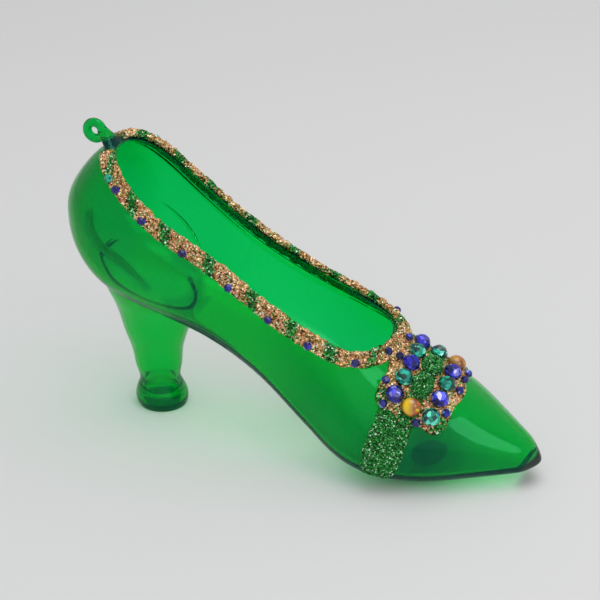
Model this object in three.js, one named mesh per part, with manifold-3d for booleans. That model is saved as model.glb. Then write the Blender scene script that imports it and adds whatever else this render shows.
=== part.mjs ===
// A blown-glass ornament in the form of a high-heeled court shoe, with a glitter
// band round its mouth and a jewelled brooch on its vamp.
// Millimetres. X runs from the heel counter to the toe, Y across the shoe, Z up.
// The shoe stands at Z = 0 on its heel foot and on the ball of its sole.

import * as THREE from 'three';
import { mergeVertices } from 'three/addons/utils/BufferGeometryUtils.js';
import Module from 'manifold-3d';

const wasm = await Module();
wasm.setup();
const { lerp, degToRad } = THREE.MathUtils;

// The glass shoe
const SHOE_LENGTH = 130;
const REAR_X = -SHOE_LENGTH / 2;
const TOE_X = SHOE_LENGTH / 2;
const GLASS_WALL = 1.3;
const CLEARANCE = 0.3;
const COUNTER_ROUND = 17;
const COUNTER_SQUARENESS = 2.2;
const TOE_ROUND = 5;
const SOLE_SQUARENESS = 2.7;
const SOLE_FLAT_DEPTH = 0.15;

// Guide lines of the shoe: share of the length from the counter, then millimetres
const SOLE_LINE = [
  [0, 44.7], [0.06, 40.2], [0.14, 34.9], [0.32, 27.0], [0.45, 19.5], [0.55, 10.7],
  [0.62, 3.8], [0.68, 0.9], [0.74, 0.1], [0.80, 0.1], [0.88, 1.8], [1, 4.1],
];
const CREST_LINE = [
  [0, 71.6], [0.05, 74.9], [0.13, 76.6], [0.24, 75.6], [0.42, 63.1],
  [0.60, 43.5], [0.73, 29.3], [0.85, 22.1], [0.94, 14.2], [1, 9.0],
];
const HALF_WIDTHS = [
  [0, 18.6], [0.12, 18.4], [0.24, 16.3], [0.34, 14.6], [0.45, 16.0], [0.56, 19.5],
  [0.65, 22.1], [0.74, 20.6], [0.83, 16.8], [0.92, 10.1], [1, 3.3],
];
const GIRTH_LINE = [
  [0, 59.6], [0.2, 47.8], [0.42, 29.8], [0.6, 14.5], [0.72, 8.2], [0.84, 7.9], [1, 6.1],
];
const MOUTH_LINE = [
  [-0.02, 87.7], [0.07, 79.1], [0.15, 69.6], [0.23, 61.0], [0.34, 52.1],
  [0.45, 43.8], [0.56, 37.0], [0.66, 32.8], [0.73, 33.5], [0.8, 37.8],
];
const MOUTH_MIDDLE = 0.35;

// The toe seal, a drop of dark glass
const TOE_SEAL_LENGTH = 3.2;
const TOE_SEAL_SLANT = 0.6;

// The heel
const HEEL_SETBACK = 23.1;
const HEEL_LEAN = 1.1;
const HEEL_WALL = 1.5;
const HEEL_TOP_WALL = 4;
const HEEL_OVERRUN = 10.7;
const HEEL_TOP_RADIUS = 17.3;
const HEEL_TOP_SIDE_RADIUS = 15;
const HEEL_SHAFT_RADIUS = 7;
const HEEL_SHAFT_HEIGHT = 17;
const HEEL_NECK_RADIUS = 5.65;
const HEEL_NECK_HEIGHT = 7;
const HEEL_FOOT_RADIUS = 7.05;
const HEEL_FOOT_EDGE = 0.45;

// From foot to neck and from shaft to top: share of the height, share of the radius change
const HEEL_FOOT_LINE = [[0.2, 0], [0.46, 0], [0.76, 0.5], [1, 1]];
const HEEL_FLARE_LINE = [[0, 0], [0.22, 0.17], [0.48, 0.36], [0.78, 0.73], [1, 1]];

// The hanging loop
const LOOP_ROD_RADIUS = 1.2;
const LOOP_RADIUS = 2.2;
const LOOP_SET_BACK = 5.3;
const LOOP_SIDE_SHIFT = -2.5;
const LOOP_RISE = 2.5;
const LOOP_ROOT_HALF_WIDTH = 5.4;
const LOOP_ROOT_THICKENING = 0.3;
const LOOP_ROOT_SET_BACK = 0.2;
const LOOP_ROOT_DROP = 0.8;

// The glitter band round the mouth
const BAND_REACH = 2.8;
const BAND_THICKNESS = 0.9;
const BAND_RISE = 1.1;
const BAND_OVERLAP = 0.9;
const BAND_NEAR_START = 14.5;
const BAND_FAR_START = 4;

// The brooch on the vamp
const BROOCH_FROM_THROAT = 9.75;
const BROOCH_Y = -4.9;
const BROOCH_HALF_LENGTH = 10.2;
const BROOCH_HALF_WIDTH = 12.9;
const BROOCH_SQUARENESS = 4.5;
const BROOCH_LOBES = 8;
const BROOCH_LOBE_DEPTH = 0.05;
const BROOCH_THICKNESS = 1.3;
const BROOCH_EDGE = 0.7;
const DOME_HALF_LENGTH = 2.7;
const DOME_HALF_WIDTH = 3.1;
const DOME_HEIGHT = 2.3;

// The stones: shares of the radius at the back and the table, of the height at the girdle
const STONE_BACK = 0.9;
const STONE_TABLE = 0.55;
const STONE_GIRDLE = 0.3;
const STONE_PITCH = 4.5;
const STONE_RADIUS = 2.08;
const STONE_HEIGHT = 1.9;
const ROW_OFFSET = 5.4;
const ROW_STAGGER = 0.35;
const CABOCHON_RADIUS = 2.25;
const CABOCHON_HEIGHT = 2.2;
const CHIP_RADIUS = 1.05;
const CHIP_HEIGHT = 1.0;

// The chips on the brooch, and one on the band: shares of its half length and half width
const BROOCH_CHIPS = [
  [-0.9, 0.56], [-0.68, 0.915], [0.275, 0.925], [0.815, 0.555], [0.875, 0.015],
  [0.875, -0.31], [0.885, -0.545], [-0.89, -0.61], [-0.875, -0.025],
];
const BAND_CHIP = [-1.17, 0.025];

// The chips on the rim band: share of the mouth's edge from the back to the throat
const RIM_TEAL_PLACE = 0.136;
const RIM_BLUE_PLACES = [0.165, 0.256, 0.375, 0.515, 0.637, 0.748, 0.856];
const RIM_CHIP_DROP = 1.8;

// The glitter straps below the brooch
const STRAP_WIDTH = 9.3;
const STRAP_THICKNESS = 0.6;
const STRAP_SET_BACK = 2;
const STRAP_LEAN = 5.2;
const STRAP_TOP_ANGLE = 62;
const STRAP_END_ANGLE = -24;
const STRAP_ROUND_START = 0.75;
const STRAP_ROUNDING = 0.65;

// Facets
const BODY_STATIONS = 36;
const BODY_SIDES = 36;
const HEEL_SIDES = 24;
const HEEL_RINGS = 12;
const FOOT_RINGS = 8;
const BAND_STEPS = 72;
const BROOCH_SIDES = 40;
const BROOCH_RINGS = 6;
const DOME_SIDES = 20;
const STONE_SIDES = 12;
const CABOCHON_SIDES = 18;
const CHIP_SIDES = 8;
const SOLE_PROBES = 200;
const MOUTH_PROBES = 400;
const PROBE = 0.01;

// Colours
const GLASS_GREEN = 0x0c9a44;
const DARK_GLASS = 0x10241a;
const GOLD_GLITTER = 0xb48a4c;
const GREEN_GLITTER = 0x2c7a34;
const BLUE_STONE = 0x2a2ccc;
const TEAL_STONE = 0x14a890;
const AMBER_STONE = 0xe0a020;

// Smooth curve through points [position, value], extended straight past its ends
function smoothThrough(points, scale, start) {
  const at = points.map(([share]) => start + share * scale);
  const value = points.map(([, height]) => height);
  const last = at.length - 1;
  const step = at.slice(1).map((x, i) => x - at[i]);
  const rise = step.map((h, i) => (value[i + 1] - value[i]) / h);
  const slope = at.map((x, i) => {
    if (i === 0) return rise[0];
    if (i === last) return rise[last - 1];
    return (rise[i - 1] * step[i] + rise[i] * step[i - 1]) / (step[i - 1] + step[i]);
  });
  return (x) => {
    if (x <= at[0]) return value[0] + slope[0] * (x - at[0]);
    if (x >= at[last]) return value[last] + slope[last] * (x - at[last]);
    let i = 0;
    while (x > at[i + 1]) i += 1;
    const h = step[i];
    const t = (x - at[i]) / h;
    const s = 1 - t;
    return (
      s * s * ((1 + 2 * t) * value[i] + t * h * slope[i])
      + t * t * ((1 + 2 * s) * value[i + 1] - s * h * slope[i + 1])
    );
  };
}

const alongShoe = (points) => smoothThrough(points, SHOE_LENGTH, REAR_X);
const soleLine = alongShoe(SOLE_LINE);
const crest = alongShoe(CREST_LINE);
const halfWidth = alongShoe(HALF_WIDTHS);
const girth = alongShoe(GIRTH_LINE);
const mouth = alongShoe(MOUTH_LINE);

// The sole's lowest stretch is ground flat at Z = 0
const soleHeights = Array.from({ length: SOLE_PROBES + 1 }, (_, i) => (
  soleLine(REAR_X + (SHOE_LENGTH * i) / SOLE_PROBES)
));
const soleLowest = Math.min(...soleHeights);
const sole = (x) => soleLine(x) - soleLowest - SOLE_FLAT_DEPTH;

// Steepness of a guide line, so that a wall keeps its thickness on a slope
function slant(line, x) {
  return Math.hypot(1, (line(x + PROBE) - line(x - PROBE)) / (2 * PROBE));
}

// How far a section has opened at x, from 0 at the ends of the shoe to 1
function openness(x, inset) {
  const fromRear = Math.max(0, 1 - (x - REAR_X - inset) / COUNTER_ROUND);
  const fromToe = Math.max(0, 1 - (TOE_X - inset - x) / TOE_ROUND);
  const rear = Math.sqrt(Math.max(0, 1 - fromRear ** COUNTER_SQUARENESS));
  return rear * Math.sqrt(Math.max(0, 1 - fromToe ** 2));
}

// Half width, middle, top and bottom of the section at x, moved inwards by inset
function sectionSizes(x, inset) {
  const open = openness(x, inset);
  const middle = girth(x);
  return {
    middle,
    half: (halfWidth(x) - inset * slant(halfWidth, x)) * open,
    top: middle + (crest(x) - inset * slant(crest, x) - middle) * open,
    bottom: middle + (sole(x) + inset * slant(sole, x) - middle) * open,
  };
}

// Point of the shoe's surface: an ellipse above the girth, squarer below it
function surfacePoint(x, angle, inset = 0) {
  const { middle, half, top, bottom } = sectionSizes(x, inset);
  const up = Math.sin(angle);
  const across = Math.cos(angle);
  if (up >= 0) return new THREE.Vector3(x, half * across, middle + (top - middle) * up);
  const power = 2 / SOLE_SQUARENESS;
  const y = half * Math.sign(across) * Math.abs(across) ** power;
  return new THREE.Vector3(x, y, middle - (middle - bottom) * Math.abs(up) ** power);
}

// Below 0 inside the shoe's closed outer form and above 0 outside it
function outside({ x, y, z }) {
  if (x <= REAR_X || x >= TOE_X) return 1;
  const { middle, half, top, bottom } = sectionSizes(x, 0);
  if (z >= middle) return (y / half) ** 2 + ((z - middle) / (top - middle)) ** 2 - 1;
  const sideways = Math.abs(y / half) ** SOLE_SQUARENESS;
  return sideways + ((middle - z) / (middle - bottom)) ** SOLE_SQUARENESS - 1;
}

function surfaceNormal(point) {
  const change = (axis) => {
    const step = new THREE.Vector3().setComponent(axis, PROBE);
    return outside(point.clone().add(step)) - outside(point.clone().sub(step));
  };
  return new THREE.Vector3(change(0), change(1), change(2)).normalize();
}

// First surface point met from outside when moving against the direction
function dropOnto(point, direction, reach) {
  let low = reach;
  while (low > -reach && outside(point.clone().addScaledVector(direction, low)) > 0) low -= 0.25;
  let high = low + 0.25;
  for (let i = 0; i < 24; i += 1) {
    const half = (low + high) / 2;
    if (outside(point.clone().addScaledVector(direction, half)) > 0) high = half;
    else low = half;
  }
  return point.clone().addScaledVector(direction, low);
}

// Closed geometry over a row of rings; a ring of one point is a pole
function loft(rings) {
  const corners = [];
  const starts = rings.map((ring) => {
    const start = corners.length / 3;
    ring.forEach((p) => corners.push(p.x, p.y, p.z));
    return start;
  });
  const faces = [];
  const quad = (a, b, c, d) => faces.push(a, b, c, a, c, d);
  for (let r = 0; r + 1 < rings.length; r += 1) {
    const here = rings[r].length;
    const next = rings[r + 1].length;
    const count = Math.max(here, next);
    for (let i = 0; i < count; i += 1) {
      const j = (i + 1) % count;
      if (here === 1) faces.push(starts[r], starts[r + 1] + j, starts[r + 1] + i);
      else if (next === 1) faces.push(starts[r] + i, starts[r] + j, starts[r + 1]);
      else quad(starts[r] + i, starts[r] + j, starts[r + 1] + j, starts[r + 1] + i);
    }
  }
  const fan = (start, count, flip) => {
    for (let i = 1; i + 1 < count; i += 1) {
      const pair = flip ? [start + i + 1, start + i] : [start + i, start + i + 1];
      faces.push(start, ...pair);
    }
  };
  fan(starts[0], rings[0].length, true);
  fan(starts.at(-1), rings.at(-1).length, false);
  const geometry = new THREE.BufferGeometry();
  geometry.setAttribute('position', new THREE.Float32BufferAttribute(corners, 3));
  geometry.setIndex(faces);
  return faceOutwards(geometry);
}

// Turns all faces of a closed geometry outwards
function faceOutwards(geometry) {
  const index = geometry.index.array;
  const at = (i) => new THREE.Vector3().fromBufferAttribute(geometry.attributes.position, i);
  let volume = 0;
  for (let i = 0; i < index.length; i += 3) {
    volume += at(index[i]).dot(at(index[i + 1]).cross(at(index[i + 2])));
  }
  if (volume < 0) {
    for (let i = 0; i < index.length; i += 3) {
      [index[i], index[i + 1]] = [index[i + 1], index[i]];
    }
  }
  return geometry;
}

function toSolid(geometry) {
  const bare = geometry.clone();
  bare.deleteAttribute('normal');
  bare.deleteAttribute('uv');
  const merged = mergeVertices(bare, 1e-5);
  return new wasm.Manifold(new wasm.Mesh({
    numProp: 3,
    vertProperties: new Float32Array(merged.attributes.position.array),
    triVerts: new Uint32Array(merged.index.array),
  }));
}

function toGeometry(solid) {
  const { vertProperties, triVerts } = solid.getMesh();
  const geometry = new THREE.BufferGeometry();
  geometry.setAttribute('position', new THREE.Float32BufferAttribute(vertProperties, 3));
  geometry.setIndex(new THREE.BufferAttribute(triVerts, 1));
  return geometry;
}

// The shoe's closed outer form, or a form inside or outside it by the inset
function shoeForm(inset) {
  const start = REAR_X + inset;
  const length = SHOE_LENGTH - 2 * inset;
  const rings = [];
  for (let i = 0; i <= BODY_STATIONS; i += 1) {
    const x = start + (length * (1 - Math.cos((Math.PI * i) / BODY_STATIONS))) / 2;
    if (i === 0 || i === BODY_STATIONS) {
      rings.push([new THREE.Vector3(x, 0, girth(x))]);
    } else {
      rings.push(ringOf(BODY_SIDES, (angle) => surfacePoint(x, angle, inset)));
    }
  }
  return toSolid(loft(rings));
}

function ringOf(sides, pointAt) {
  return Array.from({ length: sides }, (_, i) => pointAt((2 * Math.PI * i) / sides));
}

// Everything above the mouth line, raised by lift
function aboveMouth(lift) {
  const top = 2 * crest(REAR_X);
  const width = 2 * SHOE_LENGTH;
  const shape = new THREE.Shape();
  const [firstShare] = MOUTH_LINE[0];
  const [lastShare] = MOUTH_LINE.at(-1);
  const steps = 48;
  shape.moveTo(REAR_X + firstShare * SHOE_LENGTH, top);
  for (let i = 0; i <= steps; i += 1) {
    const x = REAR_X + SHOE_LENGTH * (firstShare + ((lastShare - firstShare) * i) / steps);
    shape.lineTo(x, mouth(x) + lift);
  }
  shape.lineTo(REAR_X + lastShare * SHOE_LENGTH, top);
  const geometry = new THREE.ExtrudeGeometry(shape, { depth: width, bevelEnabled: false });
  geometry.rotateX(Math.PI / 2);
  geometry.translate(0, width / 2, 0);
  return toSolid(geometry);
}

function box(lengthX, lengthY, lengthZ, x, y, z) {
  const geometry = new THREE.BoxGeometry(lengthX, lengthY, lengthZ);
  geometry.translate(x, y, z);
  return toSolid(geometry);
}

// Everything toe-wards of the slanted face of the toe seal, moved back by gap
function beyondToe(gap) {
  const size = SHOE_LENGTH;
  const geometry = new THREE.BoxGeometry(size, size, size);
  geometry.translate(size / 2, 0, 0);
  geometry.rotateY(Math.atan(TOE_SEAL_SLANT));
  geometry.translate(TOE_X - TOE_SEAL_LENGTH - gap, 0, girth(TOE_X));
  return toSolid(geometry);
}

// The heel's centre line and radius against height
const HEEL_X = REAR_X + HEEL_SETBACK;
const HEEL_TOP_HEIGHT = sole(HEEL_X) + HEEL_OVERRUN;
const heelCentre = (z) => HEEL_X - HEEL_LEAN * Math.sin((Math.PI * z) / HEEL_TOP_HEIGHT);
const heelRadius = smoothThrough([
  [0, HEEL_FOOT_RADIUS - HEEL_FOOT_EDGE],
  ...HEEL_FOOT_LINE.map(([height, change]) => (
    [height * HEEL_NECK_HEIGHT, lerp(HEEL_FOOT_RADIUS, HEEL_NECK_RADIUS, change)]
  )),
  [(HEEL_NECK_HEIGHT + HEEL_SHAFT_HEIGHT) / 2, (HEEL_NECK_RADIUS + HEEL_SHAFT_RADIUS) / 2],
  ...HEEL_FLARE_LINE.map(([height, change]) => (
    [
      lerp(HEEL_SHAFT_HEIGHT, HEEL_TOP_HEIGHT, height),
      lerp(HEEL_SHAFT_RADIUS, HEEL_TOP_RADIUS, change),
    ]
  )),
], 1, 0);

// The heel's form between two heights, moved inwards by the wall at each height
function heelForm(from, to, ringCount, wallAt = () => 0) {
  const rings = Array.from({ length: ringCount }, (_, i) => {
    const z = from + ((to - from) * i) / (ringCount - 1);
    const narrowing = (1 - HEEL_TOP_SIDE_RADIUS / HEEL_TOP_RADIUS) * (z / HEEL_TOP_HEIGHT) ** 4;
    const long = heelRadius(z) - wallAt(z);
    const wide = heelRadius(z) * (1 - narrowing) - wallAt(z);
    return ringOf(HEEL_SIDES, (angle) => new THREE.Vector3(
      heelCentre(z) + long * Math.cos(angle),
      wide * Math.sin(angle),
      z,
    ));
  });
  return toSolid(loft(rings));
}

const outerForm = shoeForm(0);
const clearForm = shoeForm(-CLEARANCE);
const heelWall = (z) => HEEL_WALL + (HEEL_TOP_WALL - HEEL_WALL) * (z / HEEL_TOP_HEIGHT) ** 3;
const heelHollow = heelForm(HEEL_NECK_HEIGHT, HEEL_TOP_HEIGHT, HEEL_RINGS, heelWall);

function shoeBody() {
  const floor = box(2 * SHOE_LENGTH, SHOE_LENGTH, SHOE_LENGTH, 0, 0, -SHOE_LENGTH / 2);
  const hollow = shoeForm(GLASS_WALL).subtract(beyondToe(CLEARANCE + GLASS_WALL));
  return outerForm
    .subtract(beyondToe(CLEARANCE))
    .subtract(hollow)
    .subtract(aboveMouth(0))
    .subtract(heelHollow)
    .subtract(floor);
}

function toeSeal() {
  return outerForm.intersect(beyondToe(0));
}

function heelColumn() {
  return heelForm(HEEL_NECK_HEIGHT + CLEARANCE, HEEL_TOP_HEIGHT, HEEL_RINGS)
    .subtract(heelHollow)
    .subtract(clearForm);
}

function heelFoot() {
  return heelForm(0, HEEL_NECK_HEIGHT, FOOT_RINGS);
}

// X of the two places where the mouth line leaves the closed form on its crest
function mouthEnd(from, to) {
  let inner = from;
  let outer = to;
  for (let i = 0; i < 40; i += 1) {
    const x = (inner + outer) / 2;
    if (sectionSizes(x, 0).top > mouth(x)) inner = x;
    else outer = x;
  }
  return inner;
}
const MOUTH_MIDDLE_X = REAR_X + MOUTH_MIDDLE * SHOE_LENGTH;
const MOUTH_BACK_X = mouthEnd(MOUTH_MIDDLE_X, REAR_X);
const MOUTH_THROAT_X = mouthEnd(MOUTH_MIDDLE_X, REAR_X + MOUTH_LINE.at(-1)[0] * SHOE_LENGTH);

// Point of the mouth's edge: turn 0 at the back, half a turn at the throat
function mouthPoint(turn) {
  const span = (MOUTH_THROAT_X - MOUTH_BACK_X) / 2;
  const x = MOUTH_BACK_X + span * (1 - Math.cos(turn));
  const { middle, half, top } = sectionSizes(x, 0);
  const height = (mouth(x) - middle) / (top - middle);
  const y = half * Math.sqrt(Math.max(0, 1 - height * height));
  return new THREE.Vector3(x, -Math.sign(Math.sin(turn)) * y, mouth(x));
}

// Place beside the mouth's edge: down the outer wall, then out from it
function besideMouth(turn, down, out) {
  const edge = mouthPoint(turn);
  const ahead = mouthPoint(turn + PROBE).sub(mouthPoint(turn - PROBE)).normalize();
  const facing = surfaceNormal(edge);
  const downwards = ahead.cross(facing).normalize();
  const onWall = dropOnto(edge.addScaledVector(downwards, down), facing, BAND_REACH);
  return onWall.addScaledVector(surfaceNormal(onWall), out);
}

// The band hooks over the edge of the glass and lies on its outer wall; margin widens it
function bandSection(turn, margin) {
  const edge = mouthPoint(turn);
  const ahead = mouthPoint(turn + PROBE).sub(mouthPoint(turn - PROBE)).normalize();
  const rise = (mouth(edge.x + PROBE) - mouth(edge.x - PROBE)) / (2 * PROBE);
  const above = new THREE.Vector3(-rise, 0, 1).normalize();
  const inwards = above.clone().cross(ahead).normalize();
  const top = CLEARANCE + BAND_RISE + margin;
  const outer = CLEARANCE + BAND_THICKNESS + margin;
  const reach = BAND_REACH + margin;
  const bevel = BAND_THICKNESS / 3;
  const overEdge = (inward, up) => (
    edge.clone().addScaledVector(inwards, inward).addScaledVector(above, up)
  );
  return [
    edge,
    besideMouth(turn, reach, 0),
    besideMouth(turn, reach, outer - bevel),
    besideMouth(turn, reach - bevel, outer),
    besideMouth(turn, 0, outer),
    overEdge(bevel - outer, top - bevel / 2),
    overEdge(2 * bevel - outer, top),
    overEdge(BAND_OVERLAP + margin, top),
    overEdge(BAND_OVERLAP + margin, 0),
  ];
}

// The glass walls with a clearance all round them
function glassRoom() {
  return clearForm
    .subtract(shoeForm(GLASS_WALL + CLEARANCE))
    .subtract(aboveMouth(CLEARANCE));
}

function bandForm(margin) {
  const first = degToRad(BAND_NEAR_START);
  const last = degToRad(360 - BAND_FAR_START);
  const rings = Array.from({ length: BAND_STEPS + 1 }, (_, i) => (
    bandSection(first + ((last - first) * i) / BAND_STEPS, margin)
  ));
  return toSolid(loft(rings));
}

function rimBand() {
  return bandForm(0).subtract(glassRoom());
}

// The loop is a ring of glass rod on a pulled web that follows the back edge of the mouth
function hangingLoop() {
  const back = mouthPoint(0);
  const wing = mouthPoint(degToRad(BAND_NEAR_START));
  const curl = wing.clone().sub(back).divideScalar(wing.y ** 2);
  const eye = new THREE.Vector3(back.x - LOOP_SET_BACK, LOOP_SIDE_SHIFT, back.z + LOOP_RISE);
  const ring = new THREE.TorusGeometry(LOOP_RADIUS, LOOP_ROD_RADIUS, 10, 24);
  ring.rotateX(Math.PI / 2);
  ring.translate(eye.x, eye.y, eye.z);
  const joint = new THREE.Vector3(eye.x + 0.9 * LOOP_RADIUS, eye.y, eye.z + 0.3 * LOOP_RADIUS);
  const foot = new THREE.Vector3(back.x - LOOP_ROOT_SET_BACK, eye.y, back.z - LOOP_ROOT_DROP);
  const steps = 8;
  const rings = Array.from({ length: steps + 1 }, (_, i) => {
    const share = i / steps;
    const centre = foot.clone().lerp(joint, share);
    const thick = LOOP_ROD_RADIUS * (1 + LOOP_ROOT_THICKENING * (1 - share));
    const wide = lerp(LOOP_ROOT_HALF_WIDTH, LOOP_ROD_RADIUS, share ** 0.6);
    return ringOf(16, (angle) => {
      const y = centre.y + wide * Math.sin(angle);
      const bend = (1 - share) * y ** 2;
      return new THREE.Vector3(
        centre.x + thick * Math.cos(angle) + bend * curl.x,
        y,
        centre.z + 0.6 * thick * Math.cos(angle) + bend * curl.z,
      );
    });
  });
  const glassBelow = clearForm.subtract(aboveMouth(CLEARANCE));
  return toSolid(loft(rings)).add(toSolid(ring)).subtract(glassBelow).subtract(bandForm(CLEARANCE));
}

// The brooch's own axes: its middle on the vamp, toe-wards, and towards -Y
const BROOCH_X = MOUTH_THROAT_X + BROOCH_FROM_THROAT;
const upwards = new THREE.Vector3(0, 0, 1);
const belowBrooch = new THREE.Vector3(BROOCH_X, BROOCH_Y, girth(BROOCH_X));
const broochMiddle = dropOnto(belowBrooch, upwards, crest(BROOCH_X));
const broochFacing = surfaceNormal(broochMiddle);
const nearWards = new THREE.Vector3(1, 0, 0).cross(broochFacing).normalize();
const toeWards = broochFacing.clone().cross(nearWards).normalize();

// Place on the vamp from brooch distances toe-wards and near-wards, raised by lift
function onVamp(along, across, lift) {
  const start = broochMiddle.clone()
    .addScaledVector(toeWards, along)
    .addScaledVector(nearWards, across);
  const point = dropOnto(start, broochFacing, BROOCH_HALF_WIDTH);
  const facing = surfaceNormal(point);
  return { point: point.addScaledVector(facing, lift), facing };
}

// Share of the brooch's half sizes that its lobed square outline reaches at an angle
function broochOutline(angle, margin) {
  const square = (
    Math.abs(Math.cos(angle)) ** BROOCH_SQUARENESS + Math.abs(Math.sin(angle)) ** BROOCH_SQUARENESS
  ) ** (-1 / BROOCH_SQUARENESS);
  const reach = square * (1 + BROOCH_LOBE_DEPTH * Math.cos(BROOCH_LOBES * angle));
  return {
    along: (BROOCH_HALF_LENGTH + margin) * reach * Math.cos(angle),
    across: (BROOCH_HALF_WIDTH + margin) * reach * Math.sin(angle),
  };
}

// A pad with the brooch's outline that follows the vamp between two heights
function vampPad(margin, bottom, top) {
  const layer = (share, lift) => ringOf(BROOCH_SIDES, (angle) => {
    const { along, across } = broochOutline(angle, margin);
    return onVamp(along * share, across * share, lift).point;
  });
  const shares = Array.from({ length: BROOCH_RINGS }, (_, i) => (i + 1) / BROOCH_RINGS);
  return toSolid(loft([
    [onVamp(0, 0, bottom).point],
    ...shares.map((share) => layer(share, bottom)),
    ...shares.toReversed().map((share) => layer(share, top(share))),
    [onVamp(0, 0, top(0)).point],
  ]));
}

// Heights above the glass at which the stones sit
const BROOCH_TOP = CLEARANCE + BROOCH_THICKNESS;
const ON_BROOCH = BROOCH_TOP + CLEARANCE;
const ON_BAND = CLEARANCE + BAND_THICKNESS + CLEARANCE;

function broochBase() {
  const top = (share) => (share === 1 ? BROOCH_TOP - BROOCH_EDGE : BROOCH_TOP);
  return vampPad(0, CLEARANCE, top).subtract(bandForm(CLEARANCE));
}

// Glitter strap on the side wall below the brooch; side is -1 near and 1 far
function strap(side) {
  const angles = 14;
  const columns = 4;
  const startAngle = degToRad(STRAP_TOP_ANGLE);
  const endAngle = degToRad(STRAP_END_ANGLE);
  const rowAt = (i) => {
    const angle = startAngle + ((endAngle - startAngle) * i) / angles;
    const share = i / angles;
    const rounding = Math.max(0, (share - STRAP_ROUND_START) / (1 - STRAP_ROUND_START));
    const width = STRAP_WIDTH * Math.sqrt(1 - STRAP_ROUNDING * rounding ** 2);
    const middle = BROOCH_X - STRAP_SET_BACK - STRAP_LEAN * share;
    const x = (column) => middle + width * (column / columns - 0.5);
    const wall = (column, lift) => {
      const point = surfacePoint(x(column), angle, -lift);
      return new THREE.Vector3(point.x, side * point.y, point.z);
    };
    const low = Array.from({ length: columns + 1 }, (_, c) => wall(c, CLEARANCE));
    const high = low.map((_, c) => wall(c, CLEARANCE + STRAP_THICKNESS));
    return [...low, ...high.toReversed()];
  };
  const rows = Array.from({ length: angles + 1 }, (_, i) => rowAt(i));
  const room = vampPad(CLEARANCE, -GLASS_WALL, () => BROOCH_TOP + GLASS_WALL);
  return toSolid(loft(rows)).subtract(room);
}

// Cut stone with a flat back: girdle, crown facets and table
function cutStone(radius, height, facets) {
  const profile = [
    [0, 0], [STONE_BACK * radius, 0], [radius, STONE_GIRDLE * height],
    [STONE_TABLE * radius, height], [0, height],
  ];
  return lathe(profile, facets);
}

function dome(radius, height, sides) {
  const steps = 5;
  const arc = Array.from({ length: steps + 1 }, (_, i) => {
    const angle = (Math.PI / 2) * (i / steps);
    return [radius * Math.cos(angle), height * Math.sin(angle)];
  });
  return lathe([[0, 0], ...arc], sides);
}

// Turned form about Z from [radius, height] pairs
function lathe(profile, sides) {
  const points = profile.map(([radius, height]) => new THREE.Vector2(Math.max(radius, 0), height));
  points.at(-1).x = 0;
  const geometry = new THREE.LatheGeometry(points, sides);
  geometry.rotateX(Math.PI / 2);
  return geometry;
}

const model = new THREE.Group();

function material(color, roughness, metalness) {
  return new THREE.MeshStandardMaterial({ color, roughness, metalness });
}

function addPiece(name, geometry, color, roughness, metalness) {
  const mesh = new THREE.Mesh(geometry, material(color, roughness, metalness));
  mesh.name = name;
  model.add(mesh);
  return mesh;
}

function addChip(name, color) {
  return addPiece(name, cutStone(CHIP_RADIUS, CHIP_HEIGHT, CHIP_SIDES), color, 0.1, 0.1);
}

// Sets a piece that was made about Z onto a place with its facing
function seat(mesh, { point, facing }, toward = toeWards) {
  const side = facing.clone().cross(toward).normalize();
  const along = side.clone().cross(facing).normalize();
  mesh.position.copy(point);
  mesh.quaternion.setFromRotationMatrix(new THREE.Matrix4().makeBasis(along, side, facing));
}

function addGlass() {
  addPiece('shoe_body', toGeometry(shoeBody()), GLASS_GREEN, 0.05, 0);
  addPiece('heel_column', toGeometry(heelColumn()), GLASS_GREEN, 0.05, 0);
  addPiece('heel_foot', toGeometry(heelFoot()), GLASS_GREEN, 0.05, 0);
  addPiece('toe_seal', toGeometry(toeSeal()), DARK_GLASS, 0.1, 0);
  addPiece('hanging_loop', toGeometry(hangingLoop()), GLASS_GREEN, 0.05, 0);
}

function addGlitter() {
  addPiece('rim_band', toGeometry(rimBand()), GOLD_GLITTER, 0.5, 0.7);
  addPiece('brooch_base', toGeometry(broochBase()), GOLD_GLITTER, 0.5, 0.7);
  addPiece('strap_near', toGeometry(strap(-1)), GREEN_GLITTER, 0.5, 0.6);
  addPiece('strap_far', toGeometry(strap(1)), GREEN_GLITTER, 0.5, 0.6);
  [['dome_near', 1], ['dome_far', -1]].forEach(([name, end]) => {
    const mound = dome(1, DOME_HEIGHT, DOME_SIDES);
    mound.scale(DOME_HALF_LENGTH, DOME_HALF_WIDTH, 1);
    const mesh = addPiece(name, mound, GREEN_GLITTER, 0.5, 0.6);
    seat(mesh, onVamp(0, end * (DOME_HALF_WIDTH + CLEARANCE), ON_BROOCH));
  });
}

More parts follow.
